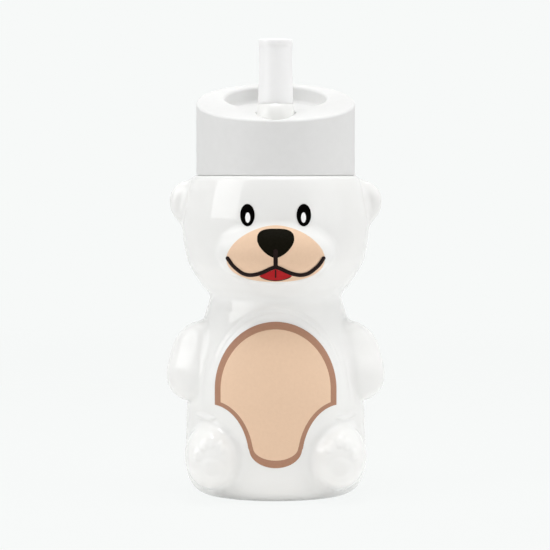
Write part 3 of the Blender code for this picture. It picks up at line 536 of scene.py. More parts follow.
def cavityRings(around):
    # a wall inside the plain form, also where that is narrower a wall higher or lower
    wall, top = bear["wall"], bear["shelf"] - bear["shelfGap"]
    rows, busy = bottleMesh["cavityRows"], bottleMesh["busyCavity"]
    heights = busySteps(bear["floor"], bear["shelf"] - wall, rows, busy)
    levels = [np.clip(heights + shift, 0.0, top) for shift in (-wall, 0.0, wall)]
    reach = np.minimum.reduce([searchRadius(plainBear, around, level) for level in levels]) - wall
    rings = [levelRing(around, r, z) for r, z in zip(reach, heights)]
    return rings[::-1] + [levelRing(around, reach[0] * bear["floorShare"], bear["floor"])]


def makeBear():
    grid = bearSkin()
    sides = grid.shape[1]
    around = np.arctan2(grid[-1, :, 1], grid[-1, :, 0])   # the top row's angles lead on to the neck
    rings = []
    for share, lift in bear["underside"]:
        ring = grid[0] * (share, share, 1.0)
        ring[:, 2] = lift
        rings.append(ring)
    rings += list(grid) + neckRings(around) + cavityRings(around)
    faces = ringFaces(len(rings), sides)
    below = len(rings) * sides   # the middle of the underside; the middle of the cavity's floor follows it
    floorRing = below - sides
    for i in range(sides):
        j = (i + 1) % sides
        faces.append((below, j, i))
        faces.append((floorRing + i, floorRing + j, below + 1))
    middles = [(0.0, 0.0, bear["underside"][0][1]), (0.0, 0.0, bear["floor"])]
    points = np.concatenate(rings + [middles])
    plastic = glossyPlastic()
    addPiece("bearBottle", points, faces, plastic, "bottle", ["bottle_body"], sharp=50.0)


makeBear()
print("bear bottle made")


# Prints: thin films that follow the bear's surface

film = {"lift": 0.06, "thickness": 0.12, "layer": 0.05, "spacing": 0.9, "fewestRings": 3, "halvings": 30}


def frontDepth(x, z, lift):
    # the y of a point that stands off the bear's front by the lift
    near = np.full(np.shape(x), -bear["reach"])
    far = np.zeros(np.shape(x))
    for _ in range(film["halvings"]):
        middle = (near + far) / 2.0
        inside = bearField(x, middle, z) < lift
        far = np.where(inside, middle, far)
        near = np.where(inside, near, middle)
    return far


def filmPiece(name, flatPoints, flatFaces, edge, layer, material, replaced=()):
    # flatPoints are (x, z); edge lists the outline loops of point numbers, all one way round
    flat = np.asarray(flatPoints)
    back = film["lift"] + layer * film["layer"]
    skins = []
    for lift in (back, back + film["thickness"]):
        y = frontDepth(flat[:, 0], flat[:, 1], lift)
        skins.append(np.stack([flat[:, 0], y, flat[:, 1]], axis=-1))
    count = len(flat)
    faces = [tuple(reversed(face)) for face in flatFaces]
    faces += [tuple(count + i for i in face) for face in flatFaces]
    for loop in edge:
        for i, a in enumerate(loop):
            b = loop[(i + 1) % len(loop)]
            faces.append((a, b, count + b, count + a))
    addPiece(name, np.concatenate(skins), faces, material, "bottle", replaced, sharp=60.0)


def fanFilm(name, outline, middle, layer, material, replaced=()):
    # a film inside one outline, in rings round its middle
    outline = np.asarray(outline)
    middle = np.asarray(middle)
    reach = np.sqrt(((outline - middle) ** 2).sum(-1)).max()
    layers = max(film["fewestRings"], int(reach / film["spacing"]))
    points = [middle]
    for i in range(1, layers + 1):
        points += list(middle + (outline - middle) * i / layers)
    sides = len(outline)
    faces = []
    for i in range(sides):
        j = (i + 1) % sides
        faces.append((0, 1 + i, 1 + j))
        for ring in range(layers - 1):
            low, high = 1 + ring * sides, 1 + (ring + 1) * sides
            faces.append((low + i, high + i, high + j, low + j))
    rim = [1 + (layers - 1) * sides + i for i in range(sides)]
    filmPiece(name, points, faces, [rim], layer, material, replaced)


def bandFilm(name, outer, inner, steps, layer, material, slot, closed):
    # a film between two lines, either a closed border or an open stroke
    outer, inner = np.asarray(outer), np.asarray(inner)
    points = []
    for i in range(steps + 1):
        points += list(outer + (inner - outer) * i / steps)
    sides = len(outer)
    faces = []
    for ring in range(steps):
        low, high = ring * sides, (ring + 1) * sides
        for i in range(sides if closed else sides - 1):
            j = (i + 1) % sides
            faces.append((high + i, low + i, low + j, high + j))
    lowSide = list(range(sides))
    highSide = [steps * sides + i for i in reversed(range(sides))]
    if closed:
        edge = [lowSide, highSide]
    else:
        farEnd = [ring * sides + sides - 1 for ring in range(1, steps)]
        nearEnd = [ring * sides for ring in reversed(range(1, steps))]
        edge = [lowSide + farEnd + highSide + nearEnd]
    filmPiece(name, points, faces, edge, layer, material)


def ovalArc(centre, radii, start, end, steps):
    unit = arc((0.0, 0.0), 1.0, start, end, steps)
    return [(centre[0] + radii[0] * x, centre[1] + radii[1] * z) for x, z in unit]


def mirrored(side):
    # side runs from the top down to the bottom on the +X side; the loop goes clockwise seen from the front
    return side + [(-x, z) for x, z in reversed(side[1:-1])]


bellyPrint = {
    "shoulder": 44.5,
    "middle": (0.0, 44.0),
    "outer": {
        "top": 70.6, "half": 23.6, "legRadii": (14.1, 20.8), "legEnd": 168.0,
        "footHalf": 10.2, "bottom": 14.2,
    },
    "inner": {
        "top": 67.8, "half": 21.3, "legRadii": (15.85, 22.4), "legEnd": 167.0,
        "footHalf": 8.7, "bottom": 17.1,
    },
    "footDrop": 0.6,
    "footStart": -4.0,
    "steps": (48, 6, 32, 20),   # along the top, the straight side, the leg and the foot
    "borderSteps": 4,
    "tan": ((0.800, 0.572, 0.405), (0.822, 0.592, 0.422)),
    "brown": ((0.412, 0.222, 0.144), (0.436, 0.238, 0.158)),
}


def patchOutline(size):
    legX, _, legZ = bear["leg"][0]
    half, radii = size["half"], size["legRadii"]
    legStart = 90.0 + math.degrees(math.asin((legX - half) / radii[0]))
    level = bellyPrint["shoulder"]
    topSteps, straightSteps, legSteps, footSteps = bellyPrint["steps"]
    side = ovalArc((0.0, level), (half, size["top"] - level), 90.0, 0.0, topSteps)
    leg = ovalArc((legX, legZ), radii, legStart, size["legEnd"], legSteps)
    side += [(half, z) for z in np.linspace(level, leg[0][1], straightSteps + 1)[1:-1]]
    side += leg
    footTop = side[-1][1] - bellyPrint["footDrop"]
    foot = (size["footHalf"], footTop - size["bottom"])
    side += ovalArc((0.0, footTop), foot, bellyPrint["footStart"], -90.0, footSteps)
    return mirrored(side)


def makeBellyPrint(tan):
    brown = printInk("brownPrint", *bellyPrint["brown"])
    outer = patchOutline(bellyPrint["outer"])
    inner = patchOutline(bellyPrint["inner"])
    fanFilm("bellyPatch", inner, bellyPrint["middle"], 0, tan, ["belly_label"])
    bandFilm("bellyBorder", outer, inner, bellyPrint["borderSteps"], 0, brown, "tan_print", True)


facePrint = {
    "muzzle": {"level": 95.4, "half": 18.9, "upper": (12.75, 1.75), "lower": (9.1, 2.35)},
    "muzzleMiddle": (0.0, 96.4),
    "nose": {"level": 102.7, "half": 7.1, "upper": (4.2, 2.9), "lower": (6.9, 1.55)},
    "noseMiddle": (0.0, 102.2),
    "philtrum": {"half": 0.85, "top": 99.3, "bottom": 91.9, "points": 16},
    "mouthLine": (
        (0.0, 92.45), (-2.3, 91.5), (-4.7, 90.3), (-7.0, 89.45), (-9.5, 89.0), (-11.6, 89.25), (-13.5, 90.15),
        (-16.4, 92.6), (-18.45, 95.45),
    ),
    "mouthHalf": 0.76,
    "mouthSteps": 9,
    "tongue": {"half": 6.3, "level": 88.7, "top": 91.6, "topPower": 0.9, "bottom": 86.8, "bottomPower": 0.85},
    "tongueMiddle": (0.0, 88.8),
    "tonguePoints": 33,
    "tongueEdge": 0.16,
    "tongueLine": {"half": 0.27, "top": 91.3, "bottom": 87.9, "points": 14},
    "eye": {"place": (10.85, 112.0), "size": (2.8, 4.28), "sides": 56},
    "glint": {"place": (10.72, 111.05), "size": (0.95, 1.98), "sides": 32},
    "roughness": 0.45,
    "inks": {
        "eyeBlackPrint": ((0.0010, 0.0008, 0.0007), (0.0020, 0.0017, 0.0014), 0.004),   # dark, light, gloss
        "noseBlackPrint": ((0.0060, 0.0054, 0.0030), (0.0080, 0.0072, 0.0046), 0.01),
        "mouthPrint": ((0.0170, 0.0100, 0.0095), (0.0205, 0.0125, 0.0112), 0.03),
        "redPrint": ((0.405, 0.0085, 0.0130), (0.440, 0.0110, 0.0160), 0.12),
        "whitePrint": ((0.96, 0.96, 0.96), (0.98, 0.98, 0.98), 0.12),
    },
}


def squaredOval(level, half, upper, lower, sides=96):
    # two half ovals that meet at the widest level, clockwise seen from the front
    outline = []
    for x, z in arc((0.0, 0.0), 1.0, 90.0, -270.0, sides)[:-1]:
        height, power = upper if z > 0.0 else lower
        across = math.copysign(abs(x) ** (2.0 / power), x)
        upward = math.copysign(abs(z) ** (2.0 / power), z)
        outline.append((half * across, level + height * upward))
    return outline


def smoothPath(points, steps):
    # a smooth curve through the points
    points = [Vector(point) for point in points]
    ends = [points[0] * 2 - points[1]] + points + [points[-1] * 2 - points[-2]]
    curve = []
    for i in range(1, len(ends) - 2):
        a, b, c, d = ends[i - 1:i + 3]
        for k in range(steps):
            t = k / steps
            curve.append(0.5 * ((b * 2) + (c - a) * t + (a * 2 - b * 5 + c * 4 - d) * t * t
                                + (b * 3 - a - c * 3 + d) * t ** 3))
    return curve + [points[-1]]


def strokeSides(path, half):
    # the two edges of a pen line with round ends
    lengths = [0.0]
    for a, b in zip(path, path[1:]):
        lengths.append(lengths[-1] + (b - a).length)
    left, right = [], []
    for i, point in enumerate(path):
        ahead = path[min(i + 1, len(path) - 1)]
        behind = path[max(i - 1, 0)]
        along = (ahead - behind).normalized()
        toEnd = min(lengths[i], lengths[-1] - lengths[i])
        width = half * math.sqrt(max(0.0004, 1.0 - max(0.0, 1.0 - toEnd / half) ** 2))
        across = Vector((along.y, -along.x)) * width
        left.append(tuple(point + across))
        right.append(tuple(point - across))
    return left, right


def roundEnded(path, half, steps=6):
    # adds closely spaced points at both ends, where the pen line turns round
    start, end = path[0], path[-1]
    first = (path[1] - path[0]).normalized()
    last = (path[-1] - path[-2]).normalized()
    head = [start - first * half * math.cos(math.radians(90.0 * i / steps)) for i in range(steps)]
    tail = [end + last * half * math.sin(math.radians(90.0 * (i + 1) / steps)) for i in range(steps)]
    return head + path + tail


def faceInk(name):
    dark, light, gloss = facePrint["inks"][name]
    return printInk(name, dark, light, facePrint["roughness"], gloss)


def penLine(name, path, half, steps, layer, material):
    bandFilm(name, *strokeSides(path, half), steps, layer, material, "black_print", False)


def straightDown(line):
    return [Vector((0.0, z)) for z in np.linspace(line["top"], line["bottom"], line["points"])]


def makeMuzzle(tan):
    muzzle = squaredOval(**facePrint["muzzle"])
    fanFilm("muzzlePatch", muzzle, facePrint["muzzleMiddle"], 0, tan, ["muzzle_label"])
    nose = squaredOval(**facePrint["nose"])
    fanFilm("nosePrint", nose, facePrint["noseMiddle"], 1, faceInk("noseBlackPrint"))


def makeTongue(ink):
    tongue = facePrint["tongue"]
    half, level, rise, drop = tongue["half"], tongue["level"], tongue["top"], tongue["bottom"]
    across = np.linspace(-1.0, 1.0, facePrint["tonguePoints"])
    upper = [(x * half, level + (rise - level) * (1.0 - abs(x)) ** tongue["topPower"]) for x in across]
    lower = [(x * half, level - (level - drop) * (1.0 - x * x) ** tongue["bottomPower"])
             for x in across[::-1][1:-1]]
    fanFilm("tonguePrint", upper + lower, facePrint["tongueMiddle"], 1, faceInk("redPrint"))
    penLine("tongueEdge", [Vector(point) for point in reversed(lower)], facePrint["tongueEdge"], 1, 2, ink)
    line = facePrint["tongueLine"]
    penLine("tongueLine", straightDown(line), line["half"], 1, 2, ink)


def makeMouth(ink):
    half = facePrint["mouthHalf"]
    for name, side, layer in (("mouthLeft", 1.0, 3), ("mouthRight", -1.0, 4)):
        path = smoothPath([(side * x, z) for x, z in facePrint["mouthLine"]], facePrint["mouthSteps"])
        penLine(name, roundEnded(path, half), half, 2, layer, ink)
    philtrum = facePrint["philtrum"]
    penLine("philtrumLine", straightDown(philtrum), philtrum["half"], 2, 2, ink)


def makeEyes():
    black, white = faceInk("eyeBlackPrint"), faceInk("whitePrint")
    for side, word in ((-1.0, "Left"), (1.0, "Right")):
        for name, oval, layer, ink, replaced in (
            ("eye", facePrint["eye"], 0, black, ["eye_label_" + word.lower()]),
            ("eyeGlint", facePrint["glint"], 2, white, []),
        ):
            place = (side * oval["place"][0], oval["place"][1])
            outline = ovalArc(place, oval["size"], 90.0, -270.0, oval["sides"])[:-1]
            fanFilm(name + word, outline, place, layer, ink, replaced)


tanPrint = printInk("tanPrint", *bellyPrint["tan"])
mouthPrint = faceInk("mouthPrint")
makeBellyPrint(tanPrint)
makeMuzzle(tanPrint)
makeTongue(mouthPrint)
makeMouth(mouthPrint)
makeEyes()
print("prints made")


# Lid: a round skirt under a sloping top, with a recess for the folded spout

lid = {
    "radius": float(lidHigh.x), "bottom": float(lidLow.z) + 0.35, "wall": 2.1, "slope": 15.0, "rim": 0.9,
    "plate": 2.0, "seat": float(gasketHigh.z) + 0.3, "footRound": 0.1, "sides": 192, "topRings": 14,
    "lift": 0.3, "frontLift": 0.6, "frontStart": 14.0,
    "recessRadius": 20.3, "recessSetback": 7.3, "recessDepth": 6.6, "recessFillet": 1.4, "recessLip": 1.2,
    "scoop": (12.0, 160.4), "scoopEnd": -40.0,
    "troughRadius": 7.45, "troughLength": 31.5, "troughWall": 1.6, "plugRadius": 24.6,
    "socketRadius": 9.3, "socketMouth": 9.06, "socketSide": (6.2, 1.36), "socketWall": 1.5,
    "socketTurns": (-36.0, -30.0, 88.0),   # degrees: where the bowl ends, and where the mouth starts and ends
    "bossTurn": -16.0, "stemRadius": 6.2, "stemBottom": 130.0, "flowRadius": 3.0, "strawHole": 4.3,
    "sealSeat": float(sealLow.z) - 0.3, "sealPocket": 5.8, "sealShelf": 2.0,
    "pinRadius": 1.7, "pinReach": 13.7, "valvePlace": 18.6, "valvePocket": 3.1, "valveHole": 0.7,
    "valveBoss": 4.6, "valveDepth": 2.2, "valveSink": 1.0,
    "threadDepth": 1.6, "threadStart": 128.2, "threadSink": 0.5, "threadEnd": 0.12, "threadSides": 120,
    "past": 2.0,   # how far a cutter goes past what it cuts
    "coarseSides": 64, "fineSides": 96, "scoopSides": 72, "rodSides": 40,
}
slope = math.radians(lid["slope"])
topAtAxis = lidHigh.z + lid["lift"] - (lid["radius"] - lid["rim"]) * math.tan(slope)
insideRadius = lid["radius"] - lid["wall"]
foldedWay = Vector((0.0, math.cos(slope), math.sin(slope)))   # how the folded spout points
ballAxis = (0.0, float(hubCentre.y))


def lidTop(y):
    # a plane that levels out a little towards the front edge
    beyond = max(0.0, -y - lid["frontStart"]) / (lid["radius"] - lid["frontStart"])
    return topAtAxis + y * math.tan(slope) + lid["frontLift"] * beyond ** 2


def lidFrame(forward, depth):
    tilt = Matrix.Rotation(slope, 4, "X")
    return Matrix.Translation((0.0, 0.0, topAtAxis)) @ tilt @ Matrix.Translation((0.0, forward, -depth))


def capped(rings, sides):
    # stacked rings with a flat face at each end
    faces = ringFaces(len(rings), sides)
    faces.append(tuple(reversed(range(sides))))
    faces.append(tuple(range((len(rings) - 1) * sides, len(rings) * sides)))
    return [point for ring in rings for point in ring], faces


def solidTurn(profile, sides, centre=(0.0, 0.0)):
    # an open outline from bottom to top, closed by flat faces
    return capped([circle(radius, height, sides, centre) for radius, height in profile], sides)


def rodBetween(name, radius, start, end, sides):
    start, end = Vector(start), Vector(end)
    turn = (end - start).to_track_quat("Z", "Y").to_matrix().to_4x4()
    points, faces = solidTurn([(radius, 0.0), (radius, (end - start).length)], sides)
    return shapeObject(name, points, faces, Matrix.Translation(start) @ turn)


def applyBoolean(target, tool, operation):
    modifier = target.modifiers.new("cut", "BOOLEAN")
    modifier.operation = operation
    modifier.solver = "EXACT"
    modifier.object = tool
    evaluated = target.evaluated_get(bpy.context.evaluated_depsgraph_get())
    mesh = bpy.data.meshes.new_from_object(evaluated)
    target.modifiers.clear()
    old = target.data
    target.data = mesh
    bpy.data.meshes.remove(old)
    bpy.data.objects.remove(tool, do_unlink=True)


def cutAway(target, tool):
    applyBoolean(target, tool, "DIFFERENCE")


def joinOn(target, tool):
    applyBoolean(target, tool, "UNION")


def helixRidge(rootRadius, crestRadius, start, sides):
    # the lid's thread: one section swept along the neck's pitch, flatter at both ends
    count = int(sides * neck["turns"])
    half, tip = neck["rootWidth"] / 2.0, neck["crestWidth"] / 2.0
    sunk = rootRadius + lid["threadSink"]
    rings = []
    for i in range(count + 1):
        share = i / count
        angle = 2.0 * math.pi * neck["turns"] * share
        rise = min(1.0, share / neck["runOut"], (1.0 - share) / neck["runOut"])
        crest = rootRadius + (crestRadius - rootRadius) * max(rise, lid["threadEnd"])
        z = start + neck["pitch"] * neck["turns"] * share
        lower = [(sunk, -half), (rootRadius, -half), (crest, -tip)]
        section = lower + [(r, -dz) for r, dz in reversed(lower)]
        rings.append([(r * math.cos(angle), r * math.sin(angle), z + dz) for r, dz in section])
    item = shapeObject("lidThread", *capped(rings, len(rings[0])))
    shape = bmesh.new()
    shape.from_mesh(item.data)
    bmesh.ops.recalc_face_normals(shape, faces=shape.faces)
    shape.to_mesh(item.data)
    shape.free()
    return item


def narrowed(points, side):
    # draws in both sides of a ball that turns about X: narrow from the front, and still round in every pose
    start, reach = side
    drawn = []
    for x, y, z in points:
        beyond = max(0.0, abs(x) - start)
        across = min(abs(x), start) + reach * (1.0 - math.exp(-beyond / reach))
        drawn.append((math.copysign(across, x), y, z))
    return drawn


def ballTurn(radius, ball):
    # how far under a ball's middle its surface comes in to that radius, in degrees
    return -math.degrees(math.acos(radius / ball))


def ballArc(radius, start, end, steps):
    # a part of a circle round the ball's middle, as (radius, height)
    return [(r, hubCentre.z + z) for r, z in arc((0.0, 0.0), radius, start, end, steps)]


def slopingRing(radius, drop=0.0):
    return [(x, y, lidTop(y) + drop) for x, y, _ in circle(radius, 0.0, lid["sides"])]


def lidCap():
    # the outer form, still solid: the foot, the rim and the sloping top
    sides, radius, foot, rim = lid["sides"], lid["radius"], lid["footRound"], lid["rim"]
    footArc = arc((radius - foot, lid["bottom"] + foot), foot, 270.0, 360.0, 3)
    rings = [circle(r, z, sides) for r, z in footArc]
    rings += [slopingRing(radius - inset, drop) for inset, drop in arc((rim, -rim), rim, 180.0, 90.0, 7)]
    rings += [slopingRing((radius - rim) * (1.0 - i / lid["topRings"])) for i in range(1, lid["topRings"])]
    return shapeObject("lidCap", *capped(rings, sides))


def hollowUnderneath(shell):
    # room for the neck, and the space inside it up to the recess's plate; the trough's wall stays
    sides, bottom = lid["sides"], lid["bottom"]
    space = solidTurn([(insideRadius, bottom - lid["past"]), (insideRadius, lid["seat"])], sides)
    cutAway(shell, shapeObject("neckSpace", *space))
    drop = (lid["recessDepth"] + lid["plate"]) / math.cos(slope)
    low = circle(lid["plugRadius"], bottom, sides)
    high = [(x, y, topAtAxis + y * math.tan(slope) - drop) for x, y, _ in low]
    underside = shapeObject("underside", *capped([low, high], sides))
    wallRadius = lid["troughRadius"] + lid["troughWall"]
    wallEnd = hubCentre + foldedWay * (lid["troughLength"] + lid["troughWall"])
    cutAway(underside, rodBetween("troughWall", wallRadius, hubCentre, wallEnd, lid["coarseSides"]))
    cutAway(shell, underside)


def addSocketBoss(shell):
    bowl = lid["socketRadius"] + lid["socketWall"]
    boss = [(lid["stemRadius"], lid["stemBottom"]), (lid["stemRadius"], lid["sealSeat"] - lid["sealShelf"])]
    boss += ballArc(bowl, ballTurn(lid["stemRadius"], bowl), lid["bossTurn"], 14)
    joinOn(shell, shapeObject("socketBoss", *solidTurn(boss, lid["coarseSides"], ballAxis)))


def addValveSeat(shell):
    def rod(name, radius, start, end):
        top, foot = lidFrame(lid["valvePlace"], start), lidFrame(lid["valvePlace"], end)
        return rodBetween(name, radius, top.translation, foot.translation, lid["rodSides"])

    pocket, past = lid["recessDepth"] + lid["plate"], lid["past"]
    bossEnd = pocket + lid["valveDepth"]
    joinOn(shell, rod("valveBoss", lid["valveBoss"], pocket - lid["valveSink"], bossEnd))
    cutAway(shell, rod("valvePocket", lid["valvePocket"], pocket, bossEnd + past))
    cutAway(shell, rod("valveHole", lid["valveHole"], lid["recessDepth"] - past, bossEnd + past))


def cutRecess(shell):
    # a fillet round the recess's floor and a small round over its upper edge
    r, fillet, lip, depth = lid["recessRadius"], lid["recessFillet"], lid["recessLip"], lid["recessDepth"]
    recess = arc((r - fillet, fillet), fillet, -90.0, 0.0, 6)
    recess += arc((r + lip, depth - lip), lip, 180.0, 90.0, 5) + [(r + lip, 2.0 * depth)]
    points, faces = solidTurn(recess, lid["sides"])
    cutAway(shell, shapeObject("recess", points, faces, lidFrame(lid["recessSetback"], depth)))
    troughEnd = hubCentre + foldedWay * lid["troughLength"]
    cutAway(shell, rodBetween("trough", lid["troughRadius"], hubCentre, troughEnd, lid["fineSides"]))

    # a shallow scoop at the front lets the ball show down to the rim
    scoopRadius, scoopLevel = lid["scoop"]
    start, end = (0.0, hubCentre.y, scoopLevel), (0.0, lid["scoopEnd"], scoopLevel)
    cutAway(shell, rodBetween("scoop", scoopRadius, start, end, lid["scoopSides"]))


def cutSocket(shell):
    # the straw's hole, the seal's pocket, the ball's bowl and the bores for its pins
    seat, shelf = lid["sealSeat"], lid["sealSeat"] - lid["sealShelf"]
    bowlEnd, mouthStart, mouthEnd = lid["socketTurns"]
    bore = [(lid["strawHole"], lid["stemBottom"] - lid["past"]), (lid["strawHole"], shelf)]
    bore += [(lid["flowRadius"], shelf), (lid["flowRadius"], seat), (lid["sealPocket"], seat)]
    bore += ballArc(lid["socketRadius"], ballTurn(lid["sealPocket"], lid["socketRadius"]), bowlEnd, 8)
    bore += ballArc(lid["socketMouth"], mouthStart, mouthEnd, 30)
    points, faces = solidTurn(bore, lid["fineSides"], ballAxis)
    cutAway(shell, shapeObject("socket", narrowed(points, lid["socketSide"]), faces))
    reach = Vector((lid["pinReach"], 0.0, 0.0))
    left, right = hubCentre - reach, hubCentre + reach
    cutAway(shell, rodBetween("pinBore", lid["pinRadius"], left, right, lid["rodSides"]))


def makeLid():
    shell = lidCap()
    hollowUnderneath(shell)
    addSocketBoss(shell)
    addValveSeat(shell)
    cutRecess(shell)
    cutSocket(shell)
    crest = insideRadius - lid["threadDepth"]
    joinOn(shell, helixRidge(insideRadius, crest, lid["threadStart"], lid["threadSides"]))
    shell.data.transform(Matrix.Scale(mm, 4))
    finishPiece(shell, mattePlastic(), "lid", ["lid_shell"], sharp=28.0)
    # keeps the flat faces flat beside the small rounds
    even = shell.modifiers.new("evenShade", "WEIGHTED_NORMAL")
    even.keep_sharp = True
    even.weight = 100


makeLid()
print("lid made")


# Spout: the ball that turns in the lid, and the soft mouthpiece on its nipple

spout = {
    "ballRadius": 9.0, "side": (6.2, 1.3), "flowRadius": 3.0, "nippleRadius": 4.5, "nippleLength": 9.0,
    "nippleEdge": 0.5, "barbs": 3, "barbStart": 2.0, "barbPitch": 2.2, "barbDepth": 0.25, "barbRise": 0.4,
    "pinRadius": 1.4, "pinStart": 6.0, "pinSides": 32, "sides": 112,
}
mouthpiece = {
    "baseRadius": float(spoutHigh.x), "baseEdge": 0.06, "seatGap": 0.02, "nippleGap": 0.3,
    "bore": 3.5, "edge": 0.7,
    "collar": ((0.0, 2.2), (-0.1, 3.0)),   # steps in radius and height over the base
    "lipRadius": 6.7, "lipHeight": 2.8,
    "lipStep": ((6.55, -1.2), (6.5, -0.5), (6.53, -0.2), (6.67, 0.2), (6.7, 0.5)),   # radius, height
}
ballFlat = math.sqrt(spout["ballRadius"] ** 2 - mouthpiece["baseRadius"] ** 2)
nippleTop = ballFlat + spout["nippleLength"]


def makeSpoutBall():
    ball, nipple = spout["ballRadius"], spout["nippleRadius"]
    bore, edge = spout["flowRadius"], spout["nippleEdge"]
    high = math.degrees(math.asin(ballFlat / ball))
    outline = arc((0.0, 0.0), ball, ballTurn(bore, ball), high, 40) + [(nipple, ballFlat)]
    for i in range(spout["barbs"]):   # the barbs hold the mouthpiece
        z = ballFlat + spout["barbStart"] + spout["barbPitch"] * i
        outline += [(nipple - spout["barbDepth"], z), (nipple, z + spout["barbRise"])]
    outline += [(nipple, nippleTop - edge), (nipple - edge, nippleTop), (bore, nippleTop)]
    points, faces = turned([(r, hubCentre.z + z) for r, z in outline], spout["sides"], ballAxis)
    hub = shapeObject("spoutBall", narrowed(points, spout["side"]), faces)
    for side in (-1.0, 1.0):
        start = hubCentre + Vector((side * spout["pinStart"], 0.0, 0.0))
        end = Vector((side * hubHigh.x, hubCentre.y, hubCentre.z))
        joinOn(hub, rodBetween("pin", spout["pinRadius"], start, end, spout["pinSides"]))
    hub.data.transform(Matrix.Scale(mm, 4))
    finishPiece(hub, satinPlastic(), "spout", ["spout_hub"], sharp=35.0)


def makeMouthpiece(silicone):
    bottom, top = hubCentre.z + ballFlat + mouthpiece["seatGap"], float(spoutHigh.z)
    gap, edge, bore = mouthpiece["nippleGap"], mouthpiece["edge"], mouthpiece["bore"]
    base, foot = mouthpiece["baseRadius"], mouthpiece["baseEdge"]
    socket, socketEnd = spout["nippleRadius"] + gap, hubCentre.z + nippleTop + gap
    lipLevel = top - mouthpiece["lipHeight"]
    outline = [(socket, bottom), (base, bottom)] + arc((base - foot, bottom + foot), foot, -60.0, 0.0, 3)
    outline += [(base + step, bottom + height) for step, height in mouthpiece["collar"]]
    outline += [(radius, lipLevel + height) for radius, height in mouthpiece["lipStep"]]
    outline += arc((mouthpiece["lipRadius"] - edge, top - edge), edge, 0.0, 90.0, 7)
    outline += arc((bore + edge, top - edge), edge, 90.0, 180.0, 7)
    outline += [(bore, socketEnd), (socket, socketEnd)]
    points, faces = turned(outline, spout["sides"], ballAxis)
    addPiece("softMouthpiece", points, faces, silicone, "spout", ["mouthpiece"], sharp=35.0)


makeSpoutBall()
makeMouthpiece(softSilicone())
print("spout made")


# Inner pieces: gasket, seal, straw and air valve

gasket = {"width": 2.8, "round": 0.3, "sides": 160}
seal = {"sides": 96, "dishSteps": 12}
straw = {"wall": 0.9, "round": 0.2, "sides": 64}
valve = {
    "radius": 2.8, "gap": 0.3, "sides": 48,
    "rings": (   # share of the radius, height, and how wide the ring stays where the lips close
        (0.35, -5.2, 0.12), (0.62, -4.0, 0.3), (0.72, -1.6, 0.75), (0.95, -1.6, 1.0),
        (1.0, -1.4, 1.0), (1.0, -0.2, 1.0), (0.93, 0.0, 1.0),
    ),
}


def tubeOutline(low, high, wall, rounding):
    # a tube that fills its node's box from bottom to top
    outer = float(high.x)
    inner = outer - wall
    return softened([(inner, low.z), (outer, low.z), (outer, high.z), (inner, high.z)], rounding)


def makeGasket(silicone):
    outline = tubeOutline(gasketLow, gasketHigh, gasket["width"], gasket["round"])
    points, faces = turned(outline, gasket["sides"])
    addPiece("neckGasketRing", points, faces, silicone, "gasket", ["neck_gasket"], sharp=50.0)


def makeSeal(silicone):
    # its top is dished to the socket's own curve
    ball, hole, outer = lid["socketRadius"], lid["flowRadius"], float(sealHigh.x)
    outline = [(hole, sealLow.z), (outer, sealLow.z)]
    outline += ballArc(ball, ballTurn(outer, ball), ballTurn(hole, ball), seal["dishSteps"])
    points, faces = turned(outline, seal["sides"], ballAxis)
    addPiece("spoutSealCollar", points, faces, silicone, "lid", ["spout_seal"], sharp=35.0)


def makeStraw():
    outline = tubeOutline(strawLow, strawHigh, straw["wall"], straw["round"])
    points, faces = turned(outline, straw["sides"], ballAxis)
    addPiece("longStraw", points, faces, clearStraw(), "lid", ["drinking_straw"], sharp=35.0)


def makeValve(silicone):
    rings = []
    for share, height, pinch in valve["rings"]:
        ring = circle(valve["radius"] * share, height, valve["sides"])
        rings.append([(x, y * pinch, z) for x, y, z in ring])
    points, faces = capped(rings, valve["sides"])
    place = lidFrame(lid["valvePlace"], lid["recessDepth"] + lid["plate"] + valve["gap"])
    points = [place @ Vector(point) for point in points]
    addPiece("airValve", points, faces, silicone, "lid", ["vent_valve"], sharp=35.0)


innerSilicone = softSilicone()
makeGasket(innerSilicone)
makeSeal(innerSilicone)
makeStraw()
makeValve(innerSilicone)
print("inner pieces made")


# Stage: floor, lights, world and camera

stage = {
    "backdrop": (0.930, 0.947, 0.939),
    "floorColour": (0.95, 0.95, 0.945),
    "floorRoughness": 0.7,
    "floorHalf": 1.0,
    "floorReach": (0.30, 0.95),
    "shadowShare": 0.05,
    "worldColour": (1.0, 1.0, 0.995),
    "worldStrength": 0.12,
    "lights": (   # name, turn from the front, rise, distance, width and height, watts, what it lights
        ("leftWindow", -64.0, 25.0, 1.10, (0.80, 0.84), 5.2, "shine"),
        ("rightCard", 64.0, 22.0, 1.10, (0.90, 0.80), 1.8, "shine"),
        ("leftBox", -65.0, 26.0, 1.10, (0.95, 0.62), 4.9, "colour"),
        ("rightBox", 75.0, 20.0, 1.10, (0.80, 1.00), 4.3, "colour"),
        ("rightFar", 92.0, 16.0, 1.10, (0.60, 0.80), 1.3, "colour"),
        ("rearLeft", -130.0, 20.0, 1.10, (0.60, 0.80), 1.3, "colour"),
        ("rearRight", 130.0, 20.0, 1.10, (0.60, 0.80), 0.9, "colour"),
        ("frontStrip", 0.0, 6.0, 1.20, (0.90, 0.25), 2.2, "colour"),
        ("topBox", 180.0, 80.0, 1.00, (1.00, 1.00), 3.3, "both"),
        ("topSpot", 0.0, 80.0, 1.00, (0.45, 0.45), 4.6, "both"),
    ),
    "aim": (0.0, 0.0, 0.10),
    "eye": (-0.00024, -0.880, 0.1348),
    "pitch": 3.10,   # degrees that the camera looks down
    "focalPixels": 2204.0,
    "picturePixels": 550.0,
    "sensor": 36.0,
    "nearest": 0.01,
}


